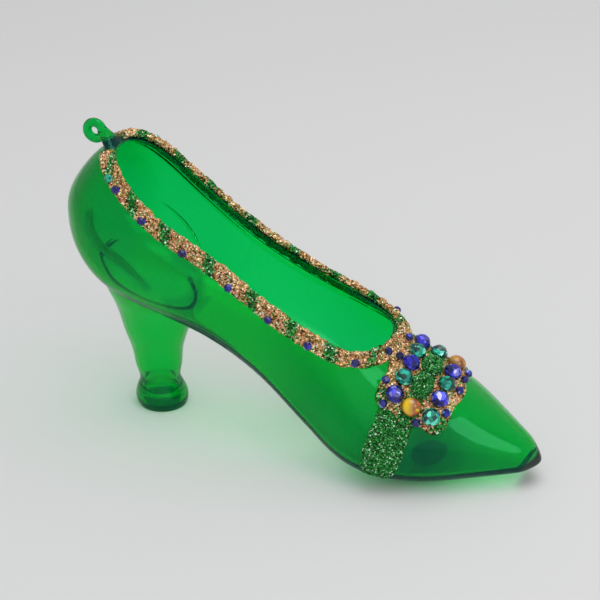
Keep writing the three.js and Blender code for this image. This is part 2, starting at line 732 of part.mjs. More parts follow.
// Twelve large stones in a ring: two rows of five and one at each end
function addLargeStones() {
  const kinds = {
    blue: () => cutStone(STONE_RADIUS, STONE_HEIGHT, STONE_SIDES),
    teal: () => cutStone(STONE_RADIUS, STONE_HEIGHT, STONE_SIDES),
    amber: () => dome(CABOCHON_RADIUS, CABOCHON_HEIGHT, CABOCHON_SIDES),
  };
  const colors = { blue: BLUE_STONE, teal: TEAL_STONE, amber: AMBER_STONE };
  const heelRow = ['blue', 'teal', 'blue', 'teal', 'blue'];
  const toeRow = ['amber', 'blue', 'teal', 'blue', 'teal'];
  const middle = (heelRow.length - 1) / 2;
  const places = [
    ...heelRow.map((kind, i) => [kind, -ROW_OFFSET, (i - middle) * STONE_PITCH - ROW_STAGGER]),
    ...toeRow.map((kind, i) => [kind, ROW_OFFSET, (i - middle) * STONE_PITCH + ROW_STAGGER]),
    ['teal', 0, -middle * STONE_PITCH - CLEARANCE],
    ['amber', 0, middle * STONE_PITCH + CLEARANCE],
  ];
  places.forEach(([kind, along, across], i) => {
    const mesh = addPiece(`stone_${kind}_${i + 1}`, kinds[kind](), colors[kind], 0.1, 0.1);
    seat(mesh, onVamp(along, across, ON_BROOCH));
  });
}

// Small stones round the edge of the brooch, the last one on the band beside it
function addBroochChips() {
  const places = [
    ...BROOCH_CHIPS.map((place) => [place, ON_BROOCH]),
    [BAND_CHIP, ON_BAND],
  ];
  places.forEach(([[along, across], lift], i) => {
    const place = onVamp(along * BROOCH_HALF_LENGTH, across * BROOCH_HALF_WIDTH, lift);
    seat(addChip(`chip_brooch_${i + 1}`, BLUE_STONE), place);
  });
}

// Turn of the mouth's edge at a share of its length from the back to the throat
function turnAlongMouth(share) {
  const step = Math.PI / MOUTH_PROBES;
  const lengths = [0];
  for (let i = 0; i < MOUTH_PROBES; i += 1) {
    lengths.push(lengths[i] + mouthPoint(i * step).distanceTo(mouthPoint((i + 1) * step)));
  }
  return step * lengths.findIndex((length) => length >= share * lengths.at(-1));
}

// Small stones along the band on both sides: one teal, then the blue ones
function addRimChips() {
  const place = (name, share, sign, color) => {
    const turn = sign * turnAlongMouth(share);
    const facing = surfaceNormal(besideMouth(turn, RIM_CHIP_DROP, 0));
    seat(addChip(name, color), { point: besideMouth(turn, RIM_CHIP_DROP, ON_BAND), facing });
  };
  for (const [side, sign] of [['near', 1], ['far', -1]]) {
    place(`chip_rim_${side}_teal`, RIM_TEAL_PLACE, sign, TEAL_STONE);
    RIM_BLUE_PLACES.forEach((share, i) => (
      place(`chip_rim_${side}_${i + 1}`, share, sign, BLUE_STONE)
    ));
  }
}

addGlass();
addGlitter();
addLargeStones();
addBroochChips();
addRimChips();

export default model;
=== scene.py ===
# A green blown-glass ornament in the form of a high-heeled shoe, with glitter and stones.
import math
import bmesh
import bpy
import numpy as np
from mathutils import Matrix, Vector


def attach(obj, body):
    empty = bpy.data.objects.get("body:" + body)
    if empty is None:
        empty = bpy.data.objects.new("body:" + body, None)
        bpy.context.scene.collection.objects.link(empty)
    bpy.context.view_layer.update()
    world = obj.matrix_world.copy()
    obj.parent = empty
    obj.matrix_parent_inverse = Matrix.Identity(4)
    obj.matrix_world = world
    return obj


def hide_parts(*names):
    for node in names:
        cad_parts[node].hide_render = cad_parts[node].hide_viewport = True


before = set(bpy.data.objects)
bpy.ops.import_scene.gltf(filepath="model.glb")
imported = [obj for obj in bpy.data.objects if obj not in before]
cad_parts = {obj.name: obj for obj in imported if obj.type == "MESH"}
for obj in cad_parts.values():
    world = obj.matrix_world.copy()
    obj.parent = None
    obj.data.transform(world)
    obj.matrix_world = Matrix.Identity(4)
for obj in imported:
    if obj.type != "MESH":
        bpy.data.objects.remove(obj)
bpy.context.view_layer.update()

MM = 0.001
rng = np.random.default_rng(12)

# Guide lines and sizes of the shoe, as in the part's source, in millimetres
LENGTH = 130.0
REAR = -LENGTH / 2
TOE = LENGTH / 2
WALL = 1.3
GAP = 0.3
COUNTER_LENGTH = 17
COUNTER_SQUARENESS = 2.2
TOE_LENGTH = 5
SOLE_SQUARENESS = 2.7
MOUTH_MIDDLE = 0.35
MOUTH_LIMIT = 0.8
SOLE = [(0, 44.7), (0.06, 40.2), (0.14, 34.9), (0.32, 27.0), (0.45, 19.5), (0.55, 10.7),
        (0.62, 3.8), (0.68, 0.9), (0.74, 0.1), (0.80, 0.1), (0.88, 1.8), (1, 4.1)]
CREST = [(0, 71.6), (0.05, 74.9), (0.13, 76.6), (0.24, 75.6), (0.42, 63.1),
         (0.60, 43.5), (0.73, 29.3), (0.85, 22.1), (0.94, 14.2), (1, 9.0)]
HALF = [(0, 18.6), (0.12, 18.4), (0.24, 16.3), (0.34, 14.6), (0.45, 16.0), (0.56, 19.5),
        (0.65, 22.1), (0.74, 20.6), (0.83, 16.8), (0.92, 10.1), (1, 3.3)]
GIRTH = [(0, 59.6), (0.2, 47.8), (0.42, 29.8), (0.6, 14.5), (0.72, 8.2), (0.84, 7.9), (1, 6.1)]
MOUTH = [(-0.02, 87.7), (0.07, 79.1), (0.15, 69.6), (0.23, 61.0), (0.34, 52.1),
         (0.45, 43.8), (0.56, 37.0), (0.66, 32.8), (0.73, 33.5), (0.8, 37.8)]


def smooth_through(points, scale, start):
    at = np.array([start + share * scale for share, _ in points])
    value = np.array([height for _, height in points], float)
    step = np.diff(at)
    rise = np.diff(value) / step
    inner = (rise[:-1] * step[1:] + rise[1:] * step[:-1]) / (step[:-1] + step[1:])
    slope = np.concatenate([rise[:1], inner, rise[-1:]])

    def curve(x):
        x = np.asarray(x, float)
        i = np.clip(np.searchsorted(at, x) - 1, 0, len(step) - 1)
        h = step[i]
        t = (x - at[i]) / h
        s = 1 - t
        middle = (s * s * ((1 + 2 * t) * value[i] + t * h * slope[i])
                  + t * t * ((1 + 2 * s) * value[i + 1] - s * h * slope[i + 1]))
        before = value[0] + slope[0] * (x - at[0])
        after = value[-1] + slope[-1] * (x - at[-1])
        return np.where(x <= at[0], before, np.where(x >= at[-1], after, middle))

    return curve


sole_line, crest, half_width, girth, mouth = (
    smooth_through(points, LENGTH, REAR) for points in (SOLE, CREST, HALF, GIRTH, MOUTH))
LOWEST = sole_line(np.linspace(REAR, TOE, 201)).min() + 0.15


def sole(x):
    return sole_line(x) - LOWEST


def slant(line, x):
    return np.hypot(1, (line(x + 0.01) - line(x - 0.01)) / 0.02)


def section(x, inset=0.0):
    """Middle, half width, top and bottom of the section at x, moved inwards by inset."""
    rear = np.clip(1 - (x - REAR - inset) / COUNTER_LENGTH, 0, None)
    toe = np.clip(1 - (TOE - inset - x) / TOE_LENGTH, 0, None)
    open_ = (np.sqrt(np.clip(1 - rear ** COUNTER_SQUARENESS, 0, None))
             * np.sqrt(np.clip(1 - toe ** 2, 0, None)))
    mid = girth(x)
    half = (half_width(x) - inset * slant(half_width, x)) * open_
    top = mid + (crest(x) - inset * slant(crest, x) - mid) * open_
    bottom = mid + (sole(x) + inset * slant(sole, x) - mid) * open_
    return mid, half, top, bottom


def surface(x, angle, inset=0.0):
    x, angle = np.broadcast_arrays(np.asarray(x, float), np.asarray(angle, float))
    mid, half, top, bottom = section(x, inset)
    up = np.sin(angle)
    across = np.cos(angle)
    power = 2 / SOLE_SQUARENESS
    low_y = half * np.sign(across) * np.abs(across) ** power
    y = np.where(up >= 0, half * across, low_y)
    z = np.where(up >= 0, mid + (top - mid) * up, mid - (mid - bottom) * np.abs(up) ** power)
    return np.stack([x, y, z], -1)


def outside(p):
    x, y, z = p[..., 0], p[..., 1], p[..., 2]
    inner = np.clip(x, REAR + 0.02, TOE - 0.02)
    mid, half, top, bottom = section(inner)
    upper = (y / half) ** 2 + ((z - mid) / (top - mid)) ** 2 - 1
    below = np.clip((mid - z) / (mid - bottom), 0, None)
    lower = np.abs(y / half) ** SOLE_SQUARENESS + below ** SOLE_SQUARENESS - 1
    return np.where((x <= REAR) | (x >= TOE), 1.0, np.where(z >= mid, upper, lower))


def unit(v):
    return v / np.linalg.norm(v, axis=-1, keepdims=True)


def facing(p):
    steps = np.eye(3) * 0.01
    return unit(np.stack([outside(p + s) - outside(p - s) for s in steps], -1))


def drop_onto(p, direction, reach):
    """Surface point met first from outside along each point's direction."""
    direction = np.broadcast_to(direction, p.shape)
    low = np.full(p.shape[:-1], float(reach))
    for _ in range(int(reach * 8)):
        out = outside(p + direction * low[..., None]) > 0
        if not out.any():
            break
        low = np.where(out, low - 0.25, low)
    high = low + 0.25
    for _ in range(18):
        half = (low + high) / 2
        out = outside(p + direction * half[..., None]) > 0
        high = np.where(out, half, high)
        low = np.where(out, low, half)
    return p + direction * low[..., None]


# The mouth's edge
def mouth_end(inner, outer):
    """X where the mouth line leaves the closed form on its crest."""
    for _ in range(40):
        x = (inner + outer) / 2
        if section(np.array(x))[2] > mouth(x):
            inner = x
        else:
            outer = x
    return inner


BACK_X = mouth_end(REAR + MOUTH_MIDDLE * LENGTH, REAR)
THROAT_X = mouth_end(REAR + MOUTH_MIDDLE * LENGTH, REAR + MOUTH_LIMIT * LENGTH)


def mouth_point(turn):
    turn = np.asarray(turn, float)
    x = BACK_X + (THROAT_X - BACK_X) / 2 * (1 - np.cos(turn))
    mid, half, top, _ = section(x)
    height = (mouth(x) - mid) / (top - mid)
    y = -np.sign(np.sin(turn)) * half * np.sqrt(np.clip(1 - height * height, 0, None))
    return np.stack([x, y, mouth(x)], -1)


def mouth_ahead(turn):
    return unit(mouth_point(turn + 0.01) - mouth_point(turn - 0.01))


def beside_mouth(turn, down, out):
    """Point down the outer wall from the mouth's edge, lifted out from the glass."""
    edge = mouth_point(turn)
    face = facing(edge)
    downwards = unit(np.cross(mouth_ahead(turn), face))
    on_wall = drop_onto(edge + downwards * np.asarray(down)[..., None], face, 3.2)
    return on_wall + facing(on_wall) * np.asarray(out)[..., None]


def over_edge(turn, inward, up):
    """Point inwards from the mouth's edge and above it."""
    edge = mouth_point(turn)
    rise = (mouth(edge[..., 0] + 0.01) - mouth(edge[..., 0] - 0.01)) / 0.02
    above = unit(np.stack([-rise, np.zeros_like(rise), np.ones_like(rise)], -1))
    inwards = unit(np.cross(above, mouth_ahead(turn)))
    return edge + inwards * np.asarray(inward)[..., None] + above * np.asarray(up)[..., None]


# Degrees round the mouth from its back to the two ends of the band
BAND_NEAR_START = 14.5
BAND_FAR_START = 4.0


# Meshes
def mesh_object(name, points, faces, smooth=True):
    mesh = bpy.data.meshes.new(name)
    mesh.from_pydata((np.asarray(points) * MM).tolist(), [], faces)
    mesh.validate()
    piece = bpy.data.objects.new(name, mesh)
    bpy.context.collection.objects.link(piece)
    face_out(mesh)
    mesh.polygons.foreach_set("use_smooth", [smooth] * len(mesh.polygons))
    return piece


def face_out(mesh):
    work = bmesh.new()
    work.from_mesh(mesh)
    bmesh.ops.recalc_face_normals(work, faces=work.faces)
    if work.calc_volume(signed=True) < 0:
        bmesh.ops.reverse_faces(work, faces=work.faces)
    work.to_mesh(mesh)
    work.free()


def ring_faces(rings, sides, closed_ends=True, loop=False):
    """Quads between rings of equal size; the ends are closed by one face each."""
    faces = []
    last = rings if loop else rings - 1
    for r in range(last):
        a = r * sides
        b = ((r + 1) % rings) * sides
        for i in range(sides):
            j = (i + 1) % sides
            faces.append((a + i, a + j, b + j, b + i))
    if closed_ends and not loop:
        faces.append(tuple(range(sides))[::-1])
        faces.append(tuple((rings - 1) * sides + i for i in range(sides)))
    return faces


def rise(low, high, value):
    """Smooth step from 0 at low to 1 at high; low may be the greater of the two."""
    share = np.clip((value - low) / (high - low), 0, 1)
    return share * share * (3 - 2 * share)


def form(name, inset, stations=220, sides=160, sole_gain=0.0):
    """The closed form of the shoe, inset from its outer surface, with a thicker sole."""
    turn = np.linspace(0, math.pi, stations + 1)[1:-1]
    x = REAR + inset + (LENGTH - 2 * inset) * (1 - np.cos(turn)) / 2
    angle = np.linspace(0, 2 * math.pi, sides, endpoint=False)
    points = surface(x[:, None], angle[None, :], inset).reshape(-1, 3)
    mid, _, _, bottom = section(points[:, 0], inset)
    depth = np.maximum(mid - bottom, 0.01)
    gain = np.minimum(sole_gain * rise(-44, -24, points[:, 0]), 0.35 * depth)
    points[:, 2] += gain * np.clip((mid - points[:, 2]) / depth, 0, 1)
    count = len(points)
    rings = len(x)
    ends = np.array([[REAR + inset, 0, girth(REAR + inset)], [TOE - inset, 0, girth(TOE - inset)]])
    faces = ring_faces(rings, sides, closed_ends=False)
    for i in range(sides):
        j = (i + 1) % sides
        faces.append((count, j, i))
        faces.append((count + 1, (rings - 1) * sides + i, (rings - 1) * sides + j))
    return mesh_object(name, np.vstack([points, ends]), faces)


def combine(target, tool, operation):
    """Boolean of two closed objects; the tool is used up."""
    change = target.modifiers.new("change", "BOOLEAN")
    change.operation = operation
    change.solver = "MANIFOLD"
    change.object = tool
    apply_modifiers(target)
    used = tool.data
    bpy.data.objects.remove(tool)
    bpy.data.meshes.remove(used)


def apply_modifiers(piece):
    graph = bpy.context.evaluated_depsgraph_get()
    mesh = bpy.data.meshes.new_from_object(piece.evaluated_get(graph))
    piece.modifiers.clear()
    old = piece.data
    piece.data = mesh
    bpy.data.meshes.remove(old)


def round_off(piece):
    """Smooth shading that stops at the sharp edges."""
    piece.data.polygons.foreach_set("use_smooth", [True] * len(piece.data.polygons))
    piece.data.set_sharp_from_angle(angle=math.radians(38))


def block(name, low, high):
    low = np.array(low, float)
    high = np.array(high, float)
    corners = [[(low, high)[i][0], (low, high)[j][1], (low, high)[k][2]]
               for i in (0, 1) for j in (0, 1) for k in (0, 1)]
    faces = [(0, 1, 3, 2), (4, 6, 7, 5), (0, 4, 5, 1), (2, 3, 7, 6), (0, 2, 6, 4), (1, 5, 7, 3)]
    return mesh_object(name, corners, faces, smooth=False)


def above_mouth(name):
    x = REAR + LENGTH * np.linspace(-0.02, MOUTH_LIMIT, 241)
    line = np.stack([x, mouth(x)], -1)
    outline = np.vstack([line, [[x[-1], 160.0]], [[x[0], 160.0]]])
    count = len(outline)
    near = np.column_stack([outline[:, 0], np.full(count, -60.0), outline[:, 1]])
    far = near * [1, -1, 1]
    return mesh_object(name, np.vstack([near, far]), ring_faces(2, count), smooth=False)


# The heel, from its foot over the neck and the shaft to the flare under the shoe
HEEL_X = REAR + 23.1
HEEL_TOP = float(sole(HEEL_X)) + 10.7
HEEL_GROUND_RADIUS = 6.6
HEEL_FOOT_RADIUS = 7.05
HEEL_NECK_HEIGHT = 7
HEEL_NECK_RADIUS = 5.65
HEEL_SHAFT_HEIGHT = 17
HEEL_SHAFT_RADIUS = 7
HEEL_TOP_RADIUS = 17.3
HEEL_TOP_SIDE_RADIUS = 15
HEEL_BOW = 1.1
FOOT_LINE = [(0.2, 0), (0.46, 0), (0.76, 0.5), (1, 1)]
FLARE_LINE = [(0, 0), (0.22, 0.17), (0.48, 0.36), (0.78, 0.73), (1, 1)]
heel_radius = smooth_through(
    [(0, HEEL_GROUND_RADIUS)]
    + [(HEEL_NECK_HEIGHT * h, HEEL_FOOT_RADIUS + (HEEL_NECK_RADIUS - HEEL_FOOT_RADIUS) * c)
       for h, c in FOOT_LINE]
    + [((HEEL_NECK_HEIGHT + HEEL_SHAFT_HEIGHT) / 2, (HEEL_NECK_RADIUS + HEEL_SHAFT_RADIUS) / 2)]
    + [(HEEL_SHAFT_HEIGHT + (HEEL_TOP - HEEL_SHAFT_HEIGHT) * h,
        HEEL_SHAFT_RADIUS + (HEEL_TOP_RADIUS - HEEL_SHAFT_RADIUS) * c)
       for h, c in FLARE_LINE], 1, 0)


def heel_form(name, low, high, rings, wall=lambda z: 0 * z, shift=lambda z: 0 * z, sides=128):
    z = np.linspace(low, high, rings)
    centre = HEEL_X - HEEL_BOW * np.sin(math.pi * z / HEEL_TOP) + shift(z)
    narrowing = (1 - HEEL_TOP_SIDE_RADIUS / HEEL_TOP_RADIUS) * (z / HEEL_TOP) ** 4
    long_ = heel_radius(z) - wall(z)
    wide = heel_radius(z) * (1 - narrowing) - wall(z)
    angle = np.linspace(0, 2 * math.pi, sides, endpoint=False)
    points = np.stack([
        centre[:, None] + long_[:, None] * np.cos(angle),
        wide[:, None] * np.sin(angle),
        np.broadcast_to(z[:, None], (rings, sides))], -1)
    return mesh_object(name, points.reshape(-1, 3), ring_faces(rings, sides))


BORE_WALL = 1.15
BORE_FLOOR = 1.3


def bore_step(z):
    """How far the bore draws in where it meets the hollow of the shoe."""
    return 2.2 * rise(31, 38, z)


def bore_wall(z):
    """Thick under the shoe and at the foot, with an inner bead inside the foot."""
    bead = 1.3 * np.exp(-((z - 3.9) / 0.6) ** 2)
    return BORE_WALL + bore_step(z) + 0.7 * rise(8.5, 3.0, z) + bead


def bore_shift(z):
    return -bore_step(z)


def beyond_toe(name, gap):
    tool = block(name, [0, -60, -60], [120, 60, 60])
    turn = Matrix.Rotation(math.atan(0.6), 4, "Y")
    place = Matrix.Translation(Vector((TOE - 3.2 - gap, 0, float(girth(TOE)))) * MM)
    tool.data.transform(place @ turn)
    return tool


LOOP_ROD = 1.2
LOOP_RADIUS = 2.2
LOOP_SET_BACK = 5.3
LOOP_SIDE_SHIFT = -2.5
LOOP_RISE = 2.5
LOOP_ROOT_HALF_WIDTH = 5.4
LOOP_ROOT_SET_BACK = 0.2
LOOP_ROOT_DROP = 0.8


def hanging_loop():
    """A round eye on a root that spreads along the back of the mouth."""
    back = mouth_point(0.0)
    wing = mouth_point(math.radians(BAND_NEAR_START))
    curl = (wing - back) / wing[1] ** 2
    eye = np.array([back[0] - LOOP_SET_BACK, LOOP_SIDE_SHIFT, back[2] + LOOP_RISE])
    turn = np.linspace(0, 2 * math.pi, 48, endpoint=False)
    rod = np.linspace(0, 2 * math.pi, 24, endpoint=False)
    radius = LOOP_RADIUS + LOOP_ROD * np.cos(rod)[None, :]
    ring = np.stack([
        eye[0] + radius * np.cos(turn)[:, None],
        np.broadcast_to(eye[1] + LOOP_ROD * np.sin(rod), (48, 24)),
        eye[2] + radius * np.sin(turn)[:, None]], -1)
    loop = mesh_object("loop", ring.reshape(-1, 3), ring_faces(48, 24, loop=True))
    joint = np.array([eye[0] + 1.98, eye[1], eye[2] + 0.66])
    foot = np.array([back[0] - LOOP_ROOT_SET_BACK, eye[1], back[2] - LOOP_ROOT_DROP])
    share = np.linspace(0, 1, 24)[:, None]
    centre = foot + (joint - foot) * share
    thick = LOOP_ROD * (1 + 0.3 * (1 - share))
    wide = LOOP_ROOT_HALF_WIDTH + (LOOP_ROD - LOOP_ROOT_HALF_WIDTH) * share ** 0.6
    y = centre[:, 1:2] + wide * np.sin(rod)
    bend = (1 - share) * y ** 2
    root = np.stack([
        centre[:, :1] + thick * np.cos(rod) + bend * curl[0],
        y,
        centre[:, 2:] + 0.6 * thick * np.cos(rod) + bend * curl[2]], -1)
    combine(loop, mesh_object("root_tool", root.reshape(-1, 3), ring_faces(24, 24)), "UNION")
    melt(loop, 0.22, 0.35)
    return loop


def melt(piece, voxel, smoothing):
    """Fuses the pieces of a mesh into one smooth skin."""
    remesh = piece.modifiers.new("fuse", "REMESH")
    remesh.mode = "VOXEL"
    remesh.voxel_size = voxel * MM
    soften = piece.modifiers.new("soften", "SMOOTH")
    soften.factor = smoothing
    soften.iterations = 6
    apply_modifiers(piece)


def tube(name, path, radius, sides=20, loop=True):
    """A round rod along a path, closed to a ring or with closed ends."""
    if loop:
        ahead = unit(np.roll(path, -1, 0) - np.roll(path, 1, 0))
    else:
        ahead = unit(np.gradient(path, axis=0))
    out = path - path.mean(0)
    side = unit(np.cross(ahead, out))
    out = unit(np.cross(side, ahead))
    angle = np.linspace(0, 2 * math.pi, sides, endpoint=False)[:, None]
    radius = np.broadcast_to(radius, (len(path),))[:, None, None]
    rings = (path[:, None] + radius * np.cos(angle) * out[:, None]
             + radius * np.sin(angle) * side[:, None])
    return mesh_object(name, rings.reshape(-1, 3), ring_faces(len(path), sides, loop=loop))


# Where the fold over the heel runs round the inner wall: x, z and the rod's radius
FAR_FOLD = [(-33.3, 31, 0.5), (-35.3, 36, 0.5), (-36.8, 40, 0.5), (-38.5, 43.4, 0.5),
            (-41, 46.2, 0.5), (-43.6, 48.2, 0.45), (-46.5, 49.9, 0.35), (-50, 51.5, 0.1)]
NEAR_FOLD = [(-37.6, 43.6, 0.1), (-39.6, 45.6, 0.6), (-42.4, 48.2, 1.0), (-45.2, 50.4, 1.2),
             (-47.7, 52.1, 1.2), (-50.3, 54, 1.0), (-52.5, 57.4, 0.8), (-52.7, 61, 0.5),
             (-52.2, 64.5, 0.1)]


def heel_fold(name, line, side):
    way = np.linspace(0, len(line) - 1, 70)
    x, z, radius = (np.interp(way, range(len(line)), [place[i] for place in line])
                    for i in (0, 1, 2))
    for _ in range(6):
        x[1:-1], z[1:-1] = ((v[:-2] + 2 * v[1:-1] + v[2:]) / 4 for v in (x, z))
    mid, half, top, bottom = section(x, WALL)
    over = 1 - np.clip((z - mid) / (top - mid), 0, 1) ** 2
    under = 1 - np.clip((mid - z) / (mid - bottom), 0, 1) ** SOLE_SQUARENESS
    y = half * np.where(z >= mid, np.sqrt(over), under ** (1 / SOLE_SQUARENESS))
    return tube(name, np.stack([x, side * y, z], -1), radius, loop=False)


def lip_bead():
    """A thicker lip inside the wall, below the mouth's edge."""
    turn = np.linspace(0, 2 * math.pi, 400, endpoint=False)
    down = 2.4 - 1.2 * np.sin(turn)
    return tube("bead_tool", beside_mouth(turn, down, 0 * turn - 0.62), 1.0)


def glass_shoe():
    hollow = form("hollow", WALL, sole_gain=0.7)
    shoe = form("glass_shoe", 0.0)
    combine(shoe, heel_form("heel_tool", 0, HEEL_TOP, 120), "UNION")
    combine(shoe, beyond_toe("toe_tool", 0.0), "DIFFERENCE")
    combine(shoe, hollow, "DIFFERENCE")
    combine(shoe, heel_fold("far_fold_tool", FAR_FOLD, 1), "UNION")
    combine(shoe, heel_fold("near_fold_tool", NEAR_FOLD, -1), "UNION")
    combine(shoe, lip_bead(), "UNION")
    combine(shoe, above_mouth("mouth_tool"), "DIFFERENCE")
    combine(shoe, hanging_loop(), "UNION")
    bore = heel_form("bore_tool", BORE_FLOOR, HEEL_TOP, 150, bore_wall, bore_shift)
    combine(shoe, bore, "DIFFERENCE")
    combine(shoe, block("floor_tool", [-80, -40, -20], [80, 40, 0]), "DIFFERENCE")
    round_off(shoe)
    paint_glass_shade(shoe)
    return shoe


# Painted shade along soft folds in the near wall over the heel: x and z, how far it reaches, how
# dark it is
SHADES = [([(x, z) for x, z, _ in NEAR_FOLD[:-1]], 2.8, 2.2),
          ([(-29.3, 51.5), (-26.2, 50.1), (-24.1, 46.8), (-24.3, 42.7), (-27.2, 40), (-31.6, 39.4)],
           3.2, 1.8),
          ([(-41.6, 50.9), (-39, 53), (-36.3, 54.1), (-32.7, 53.6), (-29.3, 51.5)], 3.0, 0.8),
          ([(-43.8, 50.1), (-41.8, 46.6), (-40.4, 42.2)], 2.0, 0.9)]


def shade(x, z, line, reach):
    nearest = np.full(len(x), 100.0)
    for (ax, az), (bx, bz) in zip(line[:-1], line[1:]):
        run = (bx - ax) ** 2 + (bz - az) ** 2
        share = np.clip(((x - ax) * (bx - ax) + (z - az) * (bz - az)) / run, 0, 1)
        far = np.hypot(x - ax - share * (bx - ax), z - az - share * (bz - az))
        nearest = np.minimum(nearest, far)
    return rise(reach, 0.2 * reach, nearest)


def paint_glass_shade(shoe):
    """Painted shade: marks where the glass is painted a deeper green, on the low side walls, the
    counter, the soft folds and the heel.
    """
    places = np.empty(len(shoe.data.vertices) * 3)
    shoe.data.vertices.foreach_get("co", places)
    x, y, z = (places.reshape(-1, 3) / MM).T
    inner = np.clip(x, REAR + 3, TOE - 3)
    _, half, top, bottom = section(inner)
    # Painted shade: the side walls darker low down and towards the front, most on the near side
    sides = rise(0.45, 0.8, np.abs(y) / half) * np.where(y < 0, 1.0, 0.35)
    low = rise(0.75, 0.4, (z - bottom) / (top - bottom))
    front_shade = 1.25 * sides * low * rise(-12, 12, x)
    # Painted shade: the counter and the back of the side walls darker high up
    back = np.maximum(1.2 * rise(-46, -58, x), 0.8 * sides * rise(-20, -32, x)) * rise(32, 40, z)
    # Painted shade along the soft folds, on the near wall only
    fold_shade = 0 * x
    for line, reach, depth in SHADES:
        fold_shade = np.maximum(fold_shade, depth * shade(x, z, line, reach))
    fold_shade *= (y < -0.4 * half) & (z > 36)
    # Painted shade: dark rings round the front of the heel's foot and a dark line down the heel's
    # column
    right = ((x - HEEL_X) * 0.925 + y * 0.38) / heel_radius(z)
    ahead = ((x - HEEL_X) * 0.38 - y * 0.925) / heel_radius(z)
    outer = (np.hypot(right, ahead) > 0.9) & (ahead > 0) & (z < 9.5) & (x < HEEL_X + 9)
    rings = (2.6 * np.exp(-((z - 6.5 - 1.5 * ahead) / 0.42) ** 2)
             + 2.0 * np.exp(-((z - 3.2 - 1.3 * ahead) / 0.4) ** 2)
             + 0.6 * rise(3.2, 2.2, z - 1.3 * ahead)) * outer
    column_shade = 2.0 * rise(0.78, 0.9, right) * (z > 8) * (z < 30) * (x < HEEL_X + 12)
    fold_shade = np.maximum(fold_shade, np.maximum(column_shade, rings))
    # The painted shade goes into an attribute that darkens the glass colour
    painted_shade = shoe.data.attributes.new("painted_shade", "FLOAT", "POINT")
    painted_shade.data.foreach_set("value", np.maximum(np.maximum(front_shade, back), fold_shade))


def toe_drop():
    drop = form("toe_drop", 0.0)
    combine(drop, block("keep_tool", [40, -40, -20], [80, 40, 60]), "INTERSECT")
    combine(drop, beyond_toe("toe_tool", -0.05), "INTERSECT")
    round_off(drop)
    return drop


# Glitter crusts
# Millimetres along the mouth's edge from its back to the middle of each green dab
GREEN_DABS = [11.0, 22.5, 33.8, 47.5, 61.5, 74.0, 85.7, 98.0]


def crumble(points, normals, lump, grain, seed):
    """Points moved along their normals by a slow wave and by random grains."""
    wave = np.random.default_rng(seed)
    total = np.zeros(points.shape[:-1])
    for _ in range(14):
        direction = unit(wave.normal(size=3)) * wave.uniform(1.2, 3.6)
        total += np.sin(points @ direction + wave.uniform(0, 6.28))
    shift = lump * total / math.sqrt(7) * 0.5 + grain * wave.uniform(-1, 1, total.shape)
    jitter = grain * 0.6 * wave.uniform(-1, 1, points.shape)
    return points + normals * shift[..., None] + jitter


def grid_normals(grid):
    across = np.roll(grid, -1, 1) - np.roll(grid, 1, 1)
    along = np.gradient(grid, axis=0)
    return unit(np.cross(along, across))


def outward(grid, normals):
    middle = grid.mean(1, keepdims=True)
    flip = np.sign(((grid - middle) * normals).sum(-1).mean())
    return normals * flip


def resample(corners, counts):
    """Straight stretches between rings of corners, each with its own count of steps."""
    out = []
    total = len(corners)
    for i, count in enumerate(counts):
        a = corners[i]
        b = corners[(i + 1) % total]
        for k in range(count):
            out.append(a + (b - a) * (k / count))
    return np.stack(out, 1)


def rounded(grid, times):
    for _ in range(times):
        grid = (np.roll(grid, 1, 1) + 2 * grid + np.roll(grid, -1, 1)) / 4
    return grid


def crust(name, grid, lump, grain, seed, amount):
    """A closed tube of glitter over a grid of points [ring, side]."""
    normals = outward(grid, grid_normals(grid))
    points = crumble(grid, normals, lump, grain, seed)
    rings, sides = grid.shape[:2]
    piece = mesh_object(name, points.reshape(-1, 3), ring_faces(rings, sides), smooth=False)
    paint(piece, amount(points.reshape(-1, 3)))
    return piece


def paint(piece, amount):
    """Share of green glitter at each corner."""
    layer = piece.data.attributes.new("green_share", "FLOAT", "POINT")
    layer.data.foreach_set("value", np.asarray(amount, np.float32))


def edge_run(turn):
    """Points of the mouth's edge, with the length along it up to each of them."""
    edge = mouth_point(turn)
    return edge, np.concatenate([[0], np.cumsum(np.linalg.norm(np.diff(edge, axis=0), axis=1))])


def along_edge(points):
    """Length along the mouth's edge from its back to the place nearest each point."""
    edge, run = edge_run(np.linspace(0, math.pi, 400))
    x = np.clip(points[:, 0], edge[0, 0], edge[-1, 0])
    return np.interp(x, edge[:, 0], run)


def rim_band():
    turn = np.radians(np.linspace(BAND_NEAR_START, 360 - BAND_FAR_START, 640))
    reach, thick, outer, top = 2.8, 0.9, 1.2, 1.4
    flat = np.zeros_like(turn)
    bevel = thick / 3
    corners = [
        beside_mouth(turn, flat + reach, flat + 0.06),
        beside_mouth(turn, flat + reach, flat + outer - bevel),
        beside_mouth(turn, flat + reach - bevel, flat + outer),
        beside_mouth(turn, flat, flat + outer),
        over_edge(turn, flat + bevel - outer, flat + top - bevel / 2),
        over_edge(turn, flat + 2 * bevel - outer, flat + top),
        over_edge(turn, flat + 0.9, flat + top),
        over_edge(turn, flat + 0.9, flat + 0.06),
        over_edge(turn, flat - 0.06, flat + 0.06),
    ]
    grid = rounded(resample(corners, [4, 2, 7, 4, 2, 4, 3, 3, 7]), 2)

    def amount(points):
        run = along_edge(points)
        near = np.min([np.abs(run - dab) for dab in GREEN_DABS], 0)
        return np.clip(1.5 - near / 1.7, 0.06, 0.95)

    return crust("rim_glitter", grid, 0.22, 0.17, 3, amount)


